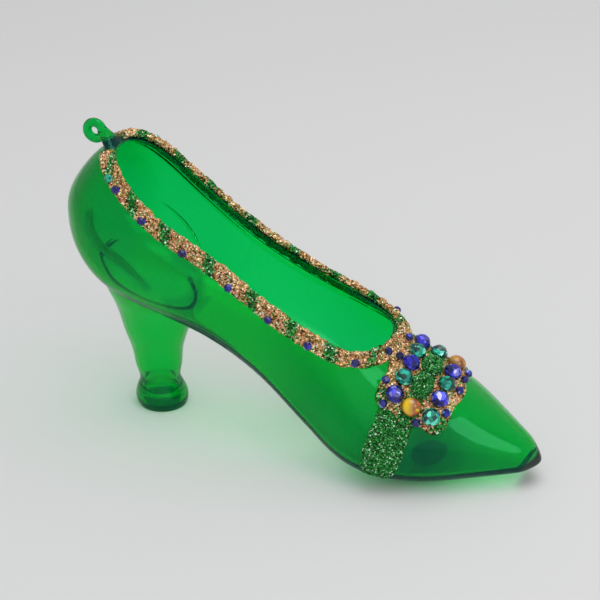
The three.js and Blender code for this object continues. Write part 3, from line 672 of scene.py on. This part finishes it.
# The brooch
UP = np.array([0.0, 0.0, 1.0])
BROOCH_X = float(THROAT_X) + 9.75
BROOCH_LOW = np.array([BROOCH_X, -4.9, float(girth(BROOCH_X))])
BROOCH_MID = drop_onto(BROOCH_LOW[None], UP, 41)[0]
BROOCH_FACE = facing(BROOCH_MID[None])[0]
NEARWARDS = unit(np.cross([1.0, 0, 0], BROOCH_FACE))
TOEWARDS = unit(np.cross(BROOCH_FACE, NEARWARDS))
BROOCH_TOP = 1.6
BROOCH_HALF_LENGTH = 10.1
BROOCH_HALF_WIDTH = 12.8
BROOCH_SQUARENESS = 4.5
BROOCH_SIDES = 200
MOUND_HALF_LENGTH = 2.9
MOUND_HALF_WIDTH = 3.5
MOUND_OFFSET = 3.4


def on_vamp(along, across, lift):
    """Point over the vamp, measured from the brooch's middle, and the way the glass faces."""
    along, across, lift = np.broadcast_arrays(
        *(np.asarray(v, float) for v in (along, across, lift)))
    start = BROOCH_MID + along[..., None] * TOEWARDS + across[..., None] * NEARWARDS
    point = drop_onto(start, BROOCH_FACE, 14.6)
    face = facing(point)
    return point + face * lift[..., None], face


def brooch_reach(angle):
    power = BROOCH_SQUARENESS
    square = (np.abs(np.cos(angle)) ** power + np.abs(np.sin(angle)) ** power) ** (-1 / power)
    return square * (1 + 0.05 * np.cos(8 * angle))


def brooch_crust():
    angle = np.linspace(0, 2 * math.pi, BROOCH_SIDES, endpoint=False)
    reach = brooch_reach(angle)
    along = BROOCH_HALF_LENGTH * reach * np.cos(angle)
    across = BROOCH_HALF_WIDTH * reach * np.sin(angle)
    shares = np.linspace(0.02, 1, 42)
    layers = [(s, 0.08) for s in shares[::6]] + [(1.0, 0.08), (1.0, 0.5), (0.99, 1.0)]
    layers += [(s, BROOCH_TOP - 0.55 * max(0, s - 0.9) / 0.1) for s in shares[::-1]]
    rings = [on_vamp(along * s, across * s, lift)[0] for s, lift in layers]
    grid = np.stack(rings)
    normals = np.zeros_like(grid)
    half = len(shares[::6]) + 1
    normals[half:] = on_vamp(along[None] * 0.5, across[None] * 0.5, 0)[1]
    points = crumble(grid, normals, 0.16, 0.15, 5)
    points[:half] = grid[:half]
    piece = mesh_object("brooch_glitter", points.reshape(-1, 3),
                        ring_faces(len(rings), BROOCH_SIDES), smooth=False)
    offset = points.reshape(-1, 3) - BROOCH_MID
    u = offset @ TOEWARDS
    v = offset @ NEARWARDS
    corner = np.hypot(np.abs(u) - 8.6, np.abs(v) - 11)
    share = np.clip(1.5 - np.abs(u) / 2.4, 0, 0.9) + np.clip(1.3 - corner / 2.6, 0, 0.9)
    paint(piece, np.clip(share, 0.12, 0.95))
    return piece


def mound(name, end):
    angle = np.linspace(0, 2 * math.pi, 72, endpoint=False)
    rings = []
    for a in np.linspace(0, math.pi / 2, 22)[:-1]:
        u = MOUND_HALF_LENGTH * math.cos(a) * np.cos(angle)
        v = end * MOUND_OFFSET + MOUND_HALF_WIDTH * math.cos(a) * np.sin(angle)
        rings.append(on_vamp(u, v, 1.5 + 2.5 * math.sin(a))[0])
    grid = np.stack(rings)
    centre = on_vamp(0.0, end * MOUND_OFFSET, 1.2)[0]
    normals = unit(grid - centre)
    points = crumble(grid, normals, 0.12, 0.14, 7 + end)
    piece = mesh_object(name, points.reshape(-1, 3), ring_faces(len(rings), 72), smooth=False)
    paint(piece, np.full(points.size // 3, 1.0))
    return piece


def strap(name, side):
    share = np.linspace(0, 1, 150)
    angle = np.radians(62 - 80 * share)
    rounding = np.clip((share - 0.75) / 0.25, 0, None)
    ragged = 1 + 0.03 * np.sin(share * 14 + side) + 0.02 * np.sin(share * 41)
    width = 9.2 * np.sqrt(1 - 0.65 * rounding ** 2) * ragged
    middle = BROOCH_X - 1.3 - 6.3 * share
    x = middle[:, None] + width[:, None] * np.linspace(-0.5, 0.5, 31)
    low = surface(x, angle[:, None], -0.08)
    high = surface(x, angle[:, None], -0.6)
    edge = surface(x[:, [0, -1]], angle[:, None], -0.35)
    grid = np.concatenate([low, edge[:, 1:], high[:, ::-1], edge[:, :1]], 1)
    grid[..., 1] *= side
    normals = np.zeros_like(grid)
    normals[:, 31:] = facing(grid)[:, 31:]
    points = crumble(grid, normals, 0.05, 0.13, 11 + side)
    piece = mesh_object(name, points.reshape(-1, 3), ring_faces(*grid.shape[:2]), smooth=False)
    paint(piece, np.full(points.size // 3, 1.0))
    return piece


# Stones. They are a little larger than the solids that they replace.
STONE_RADIUS = 2.33
STONE_HEIGHT = 2.1
CABOCHON_RADIUS = 2.5
CABOCHON_HEIGHT = 2.4
CHIP_RADIUS = 1.12
CHIP_HEIGHT = 1.1
CHIP_SIDES = 6
ON_BROOCH = 1.75
ON_BAND = 1.35
STONE_PITCH = 4.6
ROW_OFFSET = 5.4
ROW_STAGGER = 0.35


def stone_mesh(name, radius, height, sides=8):
    """A round cut stone: girdle, two rows of crown facets and a table."""
    rows = [
        (0.0, 0.9 * radius, 0.0), (0.25 * height, radius, 0.0),
        (0.36 * height, radius, 0.0), (0.72 * height, 0.8 * radius, 0.5),
        (1.0 * height, 0.52 * radius, 0.0)]
    rings = []
    for z, r, turn in rows:
        angle = 2 * math.pi * (np.arange(sides * 2) / (sides * 2) + turn / (sides * 2))
        reach = r * np.ones(sides * 2)
        if r < radius * 0.95 and z > 0:
            reach[1::2] = reach[1::2] * (0.96 if z < height else 0.97)
        rings.append(np.stack([reach * np.cos(angle), reach * np.sin(angle),
                               np.full(sides * 2, z)], -1))
    return mesh_object(name, np.concatenate(rings), ring_faces(len(rows), sides * 2), smooth=False)


def cabochon(name, radius, height):
    angle = np.linspace(0, 2 * math.pi, 48, endpoint=False)
    rings = [np.stack([0.97 * radius * np.cos(angle), 0.97 * radius * np.sin(angle), 0 * angle], -1)]
    rings += [np.stack([radius * math.cos(a) * np.cos(angle), radius * math.cos(a) * np.sin(angle),
                        np.full(48, 0.15 + (height - 0.15) * math.sin(a))], -1)
              for a in np.linspace(0, math.pi / 2, 18)[:-1]]
    return mesh_object(name, np.concatenate(rings), ring_faces(len(rings), 48))


def seat(piece, point, face, toward, spin):
    """Stands a stone on the point, spun about the way that the surface faces."""
    side = unit(np.cross(face, toward))
    ahead = unit(np.cross(side, face))
    place = Matrix((
        (ahead[0], side[0], face[0], point[0] * MM),
        (ahead[1], side[1], face[1], point[1] * MM),
        (ahead[2], side[2], face[2], point[2] * MM),
        (0, 0, 0, 1)))
    piece.data.transform(place @ Matrix.Rotation(spin, 4, "Z"))


def paint_lit_side(stone, point, face, amount):
    """Painted light: share of the light that the dome gathers, painted as a bright crescent and a
    highlight streak on its side away from the lamps.
    """
    corners = np.array([v.co for v in stone.data.vertices]) / MM - point
    flat = corners - (corners @ face)[:, None] * face
    away = np.array([-0.93, -0.36, 0.0])
    away = unit(away - (away @ face) * face)
    side = np.cross(face, away)
    u = flat @ away / CABOCHON_RADIUS
    v = flat @ side / CABOCHON_RADIUS
    crescent = np.clip((u + 0.15) / 0.75, 0, 1) * np.clip((1.02 - np.hypot(u, v)) / 0.15, 0, 1)
    streak = np.clip(1 - ((u + 0.55) / 0.3) ** 2 - ((v - 0.45) / 0.16) ** 2, 0, 1)
    layer = stone.data.attributes.new("painted_glow", "FLOAT", "POINT")
    layer.data.foreach_set("value", np.clip(crescent + streak, 0, 1).astype(np.float32) * amount)


# Materials
def material(name):
    mat = bpy.data.materials.new(name)
    mat.use_nodes = True
    nodes = mat.node_tree.nodes
    shader = nodes["Principled BSDF"]
    return mat, nodes, mat.node_tree.links, shader, nodes["Material Output"]


def linear(r, g, b):
    def channel(v):
        v = v / 255
        return v / 12.92 if v <= 0.04045 else ((v + 0.055) / 1.055) ** 2.4
    return (channel(r), channel(g), channel(b), 1.0)


GLASS_DENSITY = 3600
SHADOW_DENSITY = 60
HAZE = 0.06


def green_glass():
    """Clear green glass, tuned to the photo: its shadow is lighter than real glass would cast."""
    mat, nodes, links, shader, output = material("green_glass")
    shader.inputs["Base Color"].default_value = (1, 1, 1, 1)
    shader.inputs["Transmission Weight"].default_value = 1.0
    shader.inputs["Specular Tint"].default_value = (0.25, 1, 0.75, 1)
    shader.inputs["Roughness"].default_value = 0.0
    shader.inputs["IOR"].default_value = 1.45
    wave = nodes.new("ShaderNodeTexNoise")
    wave.inputs["Scale"].default_value = 55
    wave.inputs["Detail"].default_value = 1
    bump = nodes.new("ShaderNodeBump")
    bump.inputs["Strength"].default_value = 0.12
    bump.inputs["Distance"].default_value = 0.001
    coords = nodes.new("ShaderNodeTexCoord")
    links.new(coords.outputs["Object"], wave.inputs["Vector"])
    links.new(wave.outputs["Fac"], bump.inputs["Height"])
    links.new(bump.outputs["Normal"], shader.inputs["Normal"])
    absorb = nodes.new("ShaderNodeVolumeAbsorption")
    absorb.inputs["Color"].default_value = (0.0, 0.962, 0.63, 1)
    links.new(absorb.outputs["Volume"], output.inputs["Volume"])
    path = nodes.new("ShaderNodeLightPath")
    density = nodes.new("ShaderNodeMapRange")
    density.inputs["To Min"].default_value = GLASS_DENSITY
    density.inputs["To Max"].default_value = SHADOW_DENSITY
    links.new(path.outputs["Is Shadow Ray"], density.inputs["Value"])
    links.new(density.outputs["Result"], absorb.inputs["Density"])
    # Painted shade: the shade attribute from the shoe darkens the glass colour here
    painted_shade = nodes.new("ShaderNodeAttribute")
    painted_shade.attribute_name = "painted_shade"
    shade_tint = nodes.new("ShaderNodeMix")
    shade_tint.data_type = "RGBA"
    shade_tint.clamp_factor = False
    shade_tint.inputs["A"].default_value = (1, 1, 1, 1)
    shade_tint.inputs["B"].default_value = (0.78, 0.8, 0.97, 1)
    links.new(painted_shade.outputs["Fac"], shade_tint.inputs["Factor"])
    links.new(shade_tint.outputs["Result"], shader.inputs["Base Color"])
    haze = nodes.new("ShaderNodeBsdfDiffuse")
    haze.inputs["Color"].default_value = (0.0, 0.34, 0.34, 1)
    hazy = nodes.new("ShaderNodeMixShader")
    hazy.inputs["Fac"].default_value = HAZE
    links.new(shader.outputs["BSDF"], hazy.inputs[1])
    links.new(haze.outputs["BSDF"], hazy.inputs[2])
    clear = nodes.new("ShaderNodeBsdfTransparent")
    height = nodes.new("ShaderNodeSeparateXYZ")
    links.new(coords.outputs["Object"], height.inputs["Vector"])
    near = nodes.new("ShaderNodeMapRange")
    near.interpolation_type = "SMOOTHSTEP"
    near.inputs["From Min"].default_value = 0.001
    near.inputs["From Max"].default_value = 0.007
    links.new(height.outputs["Z"], near.inputs["Value"])
    cast = nodes.new("ShaderNodeMix")
    cast.data_type = "RGBA"
    cast.inputs["A"].default_value = (0.1, 0.7, 0.3, 1)
    cast.inputs["B"].default_value = (0.92, 0.93, 0.92, 1)
    links.new(near.outputs["Result"], cast.inputs["Factor"])
    links.new(cast.outputs["Result"], clear.inputs["Color"])
    mix = nodes.new("ShaderNodeMixShader")
    links.new(path.outputs["Is Shadow Ray"], mix.inputs["Fac"])
    links.new(hazy.outputs["Shader"], mix.inputs[1])
    links.new(clear.outputs["BSDF"], mix.inputs[2])
    links.new(mix.outputs["Shader"], output.inputs["Surface"])
    return mat


# The plane, in metres, below which the drop is dark
DROP_SLOPE = (-0.137, 0.391, -1.0)
DROP_EDGE = -0.01735
DROP_BLUR = 0.0003


def dark_glass():
    """Dark where the drop hangs below its slanted upper edge, green above it."""
    mat, nodes, links, shader, _ = material("dark_glass")
    coords = nodes.new("ShaderNodeTexCoord")
    noise = nodes.new("ShaderNodeTexNoise")
    noise.inputs["Scale"].default_value = 400
    links.new(coords.outputs["Object"], noise.inputs["Vector"])
    dark = nodes.new("ShaderNodeValToRGB")
    dark.color_ramp.elements[0].color = (0.002, 0.006, 0.005, 1)
    dark.color_ramp.elements[1].color = (0.006, 0.03, 0.016, 1)
    links.new(noise.outputs["Fac"], dark.inputs["Fac"])
    slope = nodes.new("ShaderNodeVectorMath")
    slope.operation = "DOT_PRODUCT"
    slope.inputs[1].default_value = DROP_SLOPE
    links.new(coords.outputs["Object"], slope.inputs[0])
    share = nodes.new("ShaderNodeMapRange")
    share.inputs["From Min"].default_value = DROP_EDGE - DROP_BLUR
    share.inputs["From Max"].default_value = DROP_EDGE + DROP_BLUR
    links.new(slope.outputs["Value"], share.inputs["Value"])
    shape = nodes.new("ShaderNodeNewGeometry")
    seam = nodes.new("ShaderNodeVectorMath")
    seam.operation = "DOT_PRODUCT"
    seam.inputs[1].default_value = (-0.857, 0, 0.515)
    links.new(shape.outputs["Normal"], seam.inputs[0])
    outer = nodes.new("ShaderNodeMath")
    outer.operation = "LESS_THAN"
    outer.inputs[1].default_value = 0.97
    links.new(seam.outputs["Value"], outer.inputs[0])
    both = nodes.new("ShaderNodeMath")
    both.operation = "MULTIPLY"
    links.new(outer.outputs["Value"], both.inputs[0])
    links.new(share.outputs["Result"], both.inputs[1])
    mix = nodes.new("ShaderNodeMix")
    mix.data_type = "RGBA"
    mix.inputs["A"].default_value = linear(14, 138, 58)
    links.new(both.outputs["Value"], mix.inputs["Factor"])
    links.new(dark.outputs["Color"], mix.inputs["B"])
    links.new(mix.outputs["Result"], shader.inputs["Base Color"])
    shader.inputs["Roughness"].default_value = 0.06
    return mat


def glitter(name, fineness, spread):
    """Flakes in cells of a fine mosaic, each with its own tilt and colour."""
    mat, nodes, links, shader, _ = material(name)
    coords = nodes.new("ShaderNodeTexCoord")
    cells = nodes.new("ShaderNodeTexVoronoi")
    cells.inputs["Scale"].default_value = fineness
    links.new(coords.outputs["Object"], cells.inputs["Vector"])
    gold = nodes.new("ShaderNodeValToRGB")
    ramp(gold, [(0.0, (96, 66, 34)), (0.12, (176, 124, 66)), (0.34, (222, 176, 116)),
                (0.54, (226, 160, 128)), (0.72, (244, 222, 164)), (0.86, (150, 150, 72)),
                (0.94, (255, 250, 226))])
    green = nodes.new("ShaderNodeValToRGB")
    ramp(green, [(0.0, (6, 62, 20)), (0.2, (16, 104, 34)), (0.5, (34, 140, 50)),
                 (0.76, (70, 170, 84)), (0.9, (130, 206, 140)), (0.96, (226, 250, 226))])
    split = nodes.new("ShaderNodeSeparateColor")
    links.new(cells.outputs["Color"], split.inputs["Color"])
    links.new(split.outputs["Red"], gold.inputs["Fac"])
    links.new(split.outputs["Red"], green.inputs["Fac"])
    share = nodes.new("ShaderNodeAttribute")
    share.attribute_name = "green_share"
    pick = nodes.new("ShaderNodeMath")
    pick.operation = "LESS_THAN"
    links.new(split.outputs["Green"], pick.inputs[0])
    links.new(share.outputs["Fac"], pick.inputs[1])
    mix = nodes.new("ShaderNodeMix")
    mix.data_type = "RGBA"
    links.new(pick.outputs["Value"], mix.inputs["Factor"])
    links.new(gold.outputs["Color"], mix.inputs["A"])
    links.new(green.outputs["Color"], mix.inputs["B"])
    links.new(mix.outputs["Result"], shader.inputs["Base Color"])
    tilt = nodes.new("ShaderNodeVectorMath")
    tilt.operation = "SUBTRACT"
    links.new(cells.outputs["Color"], tilt.inputs[0])
    tilt.inputs[1].default_value = (0.5, 0.5, 0.5)
    scale = nodes.new("ShaderNodeVectorMath")
    scale.operation = "SCALE"
    scale.inputs["Scale"].default_value = spread
    links.new(tilt.outputs["Vector"], scale.inputs[0])
    shape = nodes.new("ShaderNodeNewGeometry")
    add = nodes.new("ShaderNodeVectorMath")
    add.operation = "ADD"
    links.new(shape.outputs["Normal"], add.inputs[0])
    links.new(scale.outputs["Vector"], add.inputs[1])
    even = nodes.new("ShaderNodeVectorMath")
    even.operation = "NORMALIZE"
    links.new(add.outputs["Vector"], even.inputs[0])
    links.new(even.outputs["Vector"], shader.inputs["Normal"])
    shader.inputs["Metallic"].default_value = 0.6
    shader.inputs["Roughness"].default_value = 0.34
    return mat


def ramp(node, stops):
    """Steps of colour, each from its position on; colours are given as 0 to 255."""
    elements = node.color_ramp.elements
    node.color_ramp.interpolation = "CONSTANT"
    while len(elements) > 1:
        elements.remove(elements[-1])
    elements[0].position = stops[0][0]
    elements[0].color = linear(*stops[0][1])
    for position, color in stops[1:]:
        elements.new(position).color = linear(*color)


def jewel(name, stops):
    """Foil-backed glass: a mosaic of tones that follows small facets."""
    mat, nodes, links, shader, _ = material(name)
    coords = nodes.new("ShaderNodeTexCoord")
    cells = nodes.new("ShaderNodeTexVoronoi")
    cells.inputs["Scale"].default_value = 900
    links.new(coords.outputs["Object"], cells.inputs["Vector"])
    split = nodes.new("ShaderNodeSeparateColor")
    links.new(cells.outputs["Color"], split.inputs["Color"])
    tones = nodes.new("ShaderNodeValToRGB")
    ramp(tones, stops)
    links.new(split.outputs["Red"], tones.inputs["Fac"])
    links.new(tones.outputs["Color"], shader.inputs["Base Color"])
    shader.inputs["Metallic"].default_value = 0.55
    shader.inputs["Roughness"].default_value = 0.12
    shader.inputs["Coat Weight"].default_value = 0.8
    shader.inputs["Coat Roughness"].default_value = 0.03
    return mat


def amber():
    mat, nodes, links, shader, _ = material("amber_stone")
    coords = nodes.new("ShaderNodeTexCoord")
    noise = nodes.new("ShaderNodeTexNoise")
    noise.inputs["Scale"].default_value = 500
    links.new(coords.outputs["Object"], noise.inputs["Vector"])
    tones = nodes.new("ShaderNodeValToRGB")
    tones.color_ramp.elements[0].position = 0.35
    tones.color_ramp.elements[0].color = linear(104, 58, 4)
    tones.color_ramp.elements[1].position = 0.68
    tones.color_ramp.elements[1].color = linear(190, 104, 8)
    links.new(noise.outputs["Fac"], tones.inputs["Fac"])
    # Painted light: bright yellow where the stone gathers light, mixed in by the attribute on the
    # stone
    painted_glow = nodes.new("ShaderNodeAttribute")
    painted_glow.attribute_name = "painted_glow"
    mix = nodes.new("ShaderNodeMix")
    mix.data_type = "RGBA"
    mix.inputs["B"].default_value = linear(255, 214, 0)
    links.new(painted_glow.outputs["Fac"], mix.inputs["Factor"])
    links.new(tones.outputs["Color"], mix.inputs["A"])
    links.new(mix.outputs["Result"], shader.inputs["Base Color"])
    shader.inputs["Roughness"].default_value = 0.25
    shader.inputs["Coat Weight"].default_value = 1.0
    shader.inputs["Coat Roughness"].default_value = 0.02
    return mat


def floor_material():
    mat, nodes, links, shader, _ = material("pale_floor")
    coords = nodes.new("ShaderNodeTexCoord")
    noise = nodes.new("ShaderNodeTexNoise")
    noise.inputs["Scale"].default_value = 6
    tones = nodes.new("ShaderNodeValToRGB")
    tones.color_ramp.elements[0].color = (0.70, 0.70, 0.705, 1)
    tones.color_ramp.elements[1].color = (0.72, 0.72, 0.725, 1)
    links.new(coords.outputs["Object"], noise.inputs["Vector"])
    links.new(noise.outputs["Fac"], tones.inputs["Fac"])
    links.new(tones.outputs["Color"], shader.inputs["Base Color"])
    shader.inputs["Roughness"].default_value = 0.6
    shader.inputs["Specular IOR Level"].default_value = 0.2
    return mat


GLASS = green_glass()
DARK = dark_glass()
GLITTER = glitter("glitter_flakes", 2600, 1.1)
GREEN_GLITTER = glitter("green_flakes", 3300, 0.9)
BLUE = jewel("blue_stone", [(0, (14, 12, 110)), (0.3, (34, 30, 190)), (0.66, (58, 54, 226)),
                            (0.9, (150, 150, 255))])
CHIP_BLUE = jewel("blue_chip", [(0, (8, 12, 76)), (0.35, (20, 28, 130)), (0.7, (34, 48, 176)),
                                (0.93, (150, 170, 250))])
TEAL = jewel("teal_stone", [(0, (4, 70, 62)), (0.3, (10, 140, 120)), (0.6, (24, 190, 160)),
                            (0.85, (110, 250, 220))])
AMBER = amber()


def place(piece, mat, slot, *nodes):
    """Gives a piece its material and body, and names the nodes that it replaces; the slot is not
    used.
    """
    piece.data.materials.clear()
    piece.data.materials.append(mat)
    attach(piece, "root")
    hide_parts(*nodes)


place(glass_shoe(), GLASS, "green_glass", "shoe_body", "heel_column", "heel_foot", "hanging_loop")
place(toe_drop(), DARK, "dark_glass", "toe_seal")
place(rim_band(), GLITTER, "gold_glitter", "rim_band")
place(brooch_crust(), GLITTER, "gold_glitter", "brooch_base")
place(mound("mound_near", 1), GREEN_GLITTER, "green_glitter", "dome_near")
place(mound("mound_far", -1), GREEN_GLITTER, "green_glitter", "dome_far")
place(strap("glitter_strap_near", -1), GREEN_GLITTER, "green_glitter", "strap_near")
place(strap("glitter_strap_far", 1), GREEN_GLITTER, "green_glitter", "strap_far")

KINDS = {"blue": (BLUE, "blue_stone"), "teal": (TEAL, "teal_stone"),
         "amber": (AMBER, "amber_stone")}
HEEL_ROW = ["blue", "teal", "blue", "teal", "blue"]
TOE_ROW = ["amber", "blue", "teal", "blue", "teal"]
LARGE = [(kind, -ROW_OFFSET, (i - 2) * STONE_PITCH - ROW_STAGGER)
         for i, kind in enumerate(HEEL_ROW)]
LARGE += [(kind, ROW_OFFSET, (i - 2) * STONE_PITCH + ROW_STAGGER)
          for i, kind in enumerate(TOE_ROW)]
LARGE += [("teal", 0, -2 * STONE_PITCH - GAP), ("amber", 0, 2 * STONE_PITCH + GAP)]
for number, (kind, along, across) in enumerate(LARGE, 1):
    if kind == "amber":
        stone = cabochon(f"amber_{number}", CABOCHON_RADIUS, CABOCHON_HEIGHT)
    else:
        stone = stone_mesh(f"{kind}_{number}", STONE_RADIUS, STONE_HEIGHT)
    point, face = on_vamp(along, across, ON_BROOCH)
    seat(stone, point, face, TOEWARDS, rng.uniform(0, 1))
    if kind == "amber":
        # Painted light on the amber stones, full on the near one
        paint_lit_side(stone, point, face, 1.0 if across > 5 else 0.25)
    place(stone, *KINDS[kind], f"stone_{kind}_{number}")

# Along and across the brooch; the last chip sits on the band
CHIPS = [(-9.2, 7.2), (-6.95, 11.8), (2.8, 11.95), (8.3, 7.15), (8.9, 0.2), (8.9, -4.0),
         (9.0, -7.0), (-9.1, -7.9), (-8.9, -0.3), (-11.9, 0.3)]
for number, (along, across) in enumerate(CHIPS, 1):
    lift = ON_BAND if number == len(CHIPS) else ON_BROOCH
    chip = stone_mesh(f"brooch_chip_{number}", CHIP_RADIUS, CHIP_HEIGHT, CHIP_SIDES)
    point, face = on_vamp(along, across, lift)
    seat(chip, point, face, TOEWARDS, rng.uniform(0, 1))
    place(chip, CHIP_BLUE, "blue_stone", f"chip_brooch_{number}")


def turn_along(length):
    turn = np.linspace(0, math.pi, 2000)
    return np.interp(length, edge_run(turn)[1], turn)


# Millimetres along the mouth's edge from its back, and down from the edge
RIM_LENGTHS = [14.5, 17.6, 27.4, 40.1, 55.0, 68.1, 79.9, 91.5]
RIM_DROP = 1.8
for label, sign in (("near", 1), ("far", -1)):
    for number, length in enumerate(RIM_LENGTHS):
        turn = np.array([sign * turn_along(length)])
        down = np.array([RIM_DROP])
        face = facing(beside_mouth(turn, down, 0 * down))[0]
        point = beside_mouth(turn, down, 0 * down + ON_BAND)[0]
        chip = stone_mesh(f"rim_chip_{label}_{number}", CHIP_RADIUS, CHIP_HEIGHT, CHIP_SIDES)
        seat(chip, point, face, TOEWARDS, rng.uniform(0, 1))
        if number == 0:
            place(chip, TEAL, "teal_stone", f"chip_rim_{label}_teal")
        else:
            place(chip, CHIP_BLUE, "blue_stone", f"chip_rim_{label}_{number}")

# Floor, light and camera
floor = mesh_object("floor", [[-4000, -4000, 0], [4000, -4000, 0], [4000, 4000, 0],
                              [-4000, 4000, 0]], [(0, 1, 2, 3)])
floor.data.materials.append(floor_material())

world = bpy.data.worlds.new("studio")
bpy.context.scene.world = world
world.use_nodes = True
world.node_tree.nodes["Background"].inputs["Color"].default_value = (1, 1, 1, 1)
world.node_tree.nodes["Background"].inputs["Strength"].default_value = 0.495


def area(name, position, target, size, power):
    light = bpy.data.lights.new(name, "AREA")
    light.shape = "RECTANGLE"
    light.size, light.size_y = size
    light.energy = power
    lamp = bpy.data.objects.new(name, light)
    bpy.context.collection.objects.link(lamp)
    lamp.location = position
    toward = Vector(target) - Vector(position)
    lamp.rotation_euler = toward.to_track_quat("-Z", "Y").to_euler()


area("top_softbox", (0.1, 0.1, 0.9), (0, 0, 0.03), (0.7, 0.7), 3.7)
area("front_softbox", (0.7, -0.9, 0.7), (0, 0, 0.03), (1.3, 1.3), 2.0)
area("side_softbox", (0.76, -0.2, 0.6), (0.05, 0, 0.02), (0.42, 0.45), 1.3)

lens = bpy.data.cameras.new("camera")
lens.lens = 120.84
lens.sensor_width = 36
camera = bpy.data.objects.new("camera", lens)
bpy.context.collection.objects.link(camera)
aim = Vector((-0.00141, 0, 0.03888))
azimuth = math.radians(22.35)
elevation = math.radians(27.72)
distance = 0.52
camera.location = aim + distance * Vector((
    math.sin(azimuth) * math.cos(elevation), -math.cos(azimuth) * math.cos(elevation),
    math.sin(elevation)))
camera.rotation_euler = (aim - camera.location).to_track_quat("-Z", "Y").to_euler()
lens.clip_start = 0.01
bpy.context.scene.camera = camera
bpy.context.scene.view_settings.view_transform = "Standard"
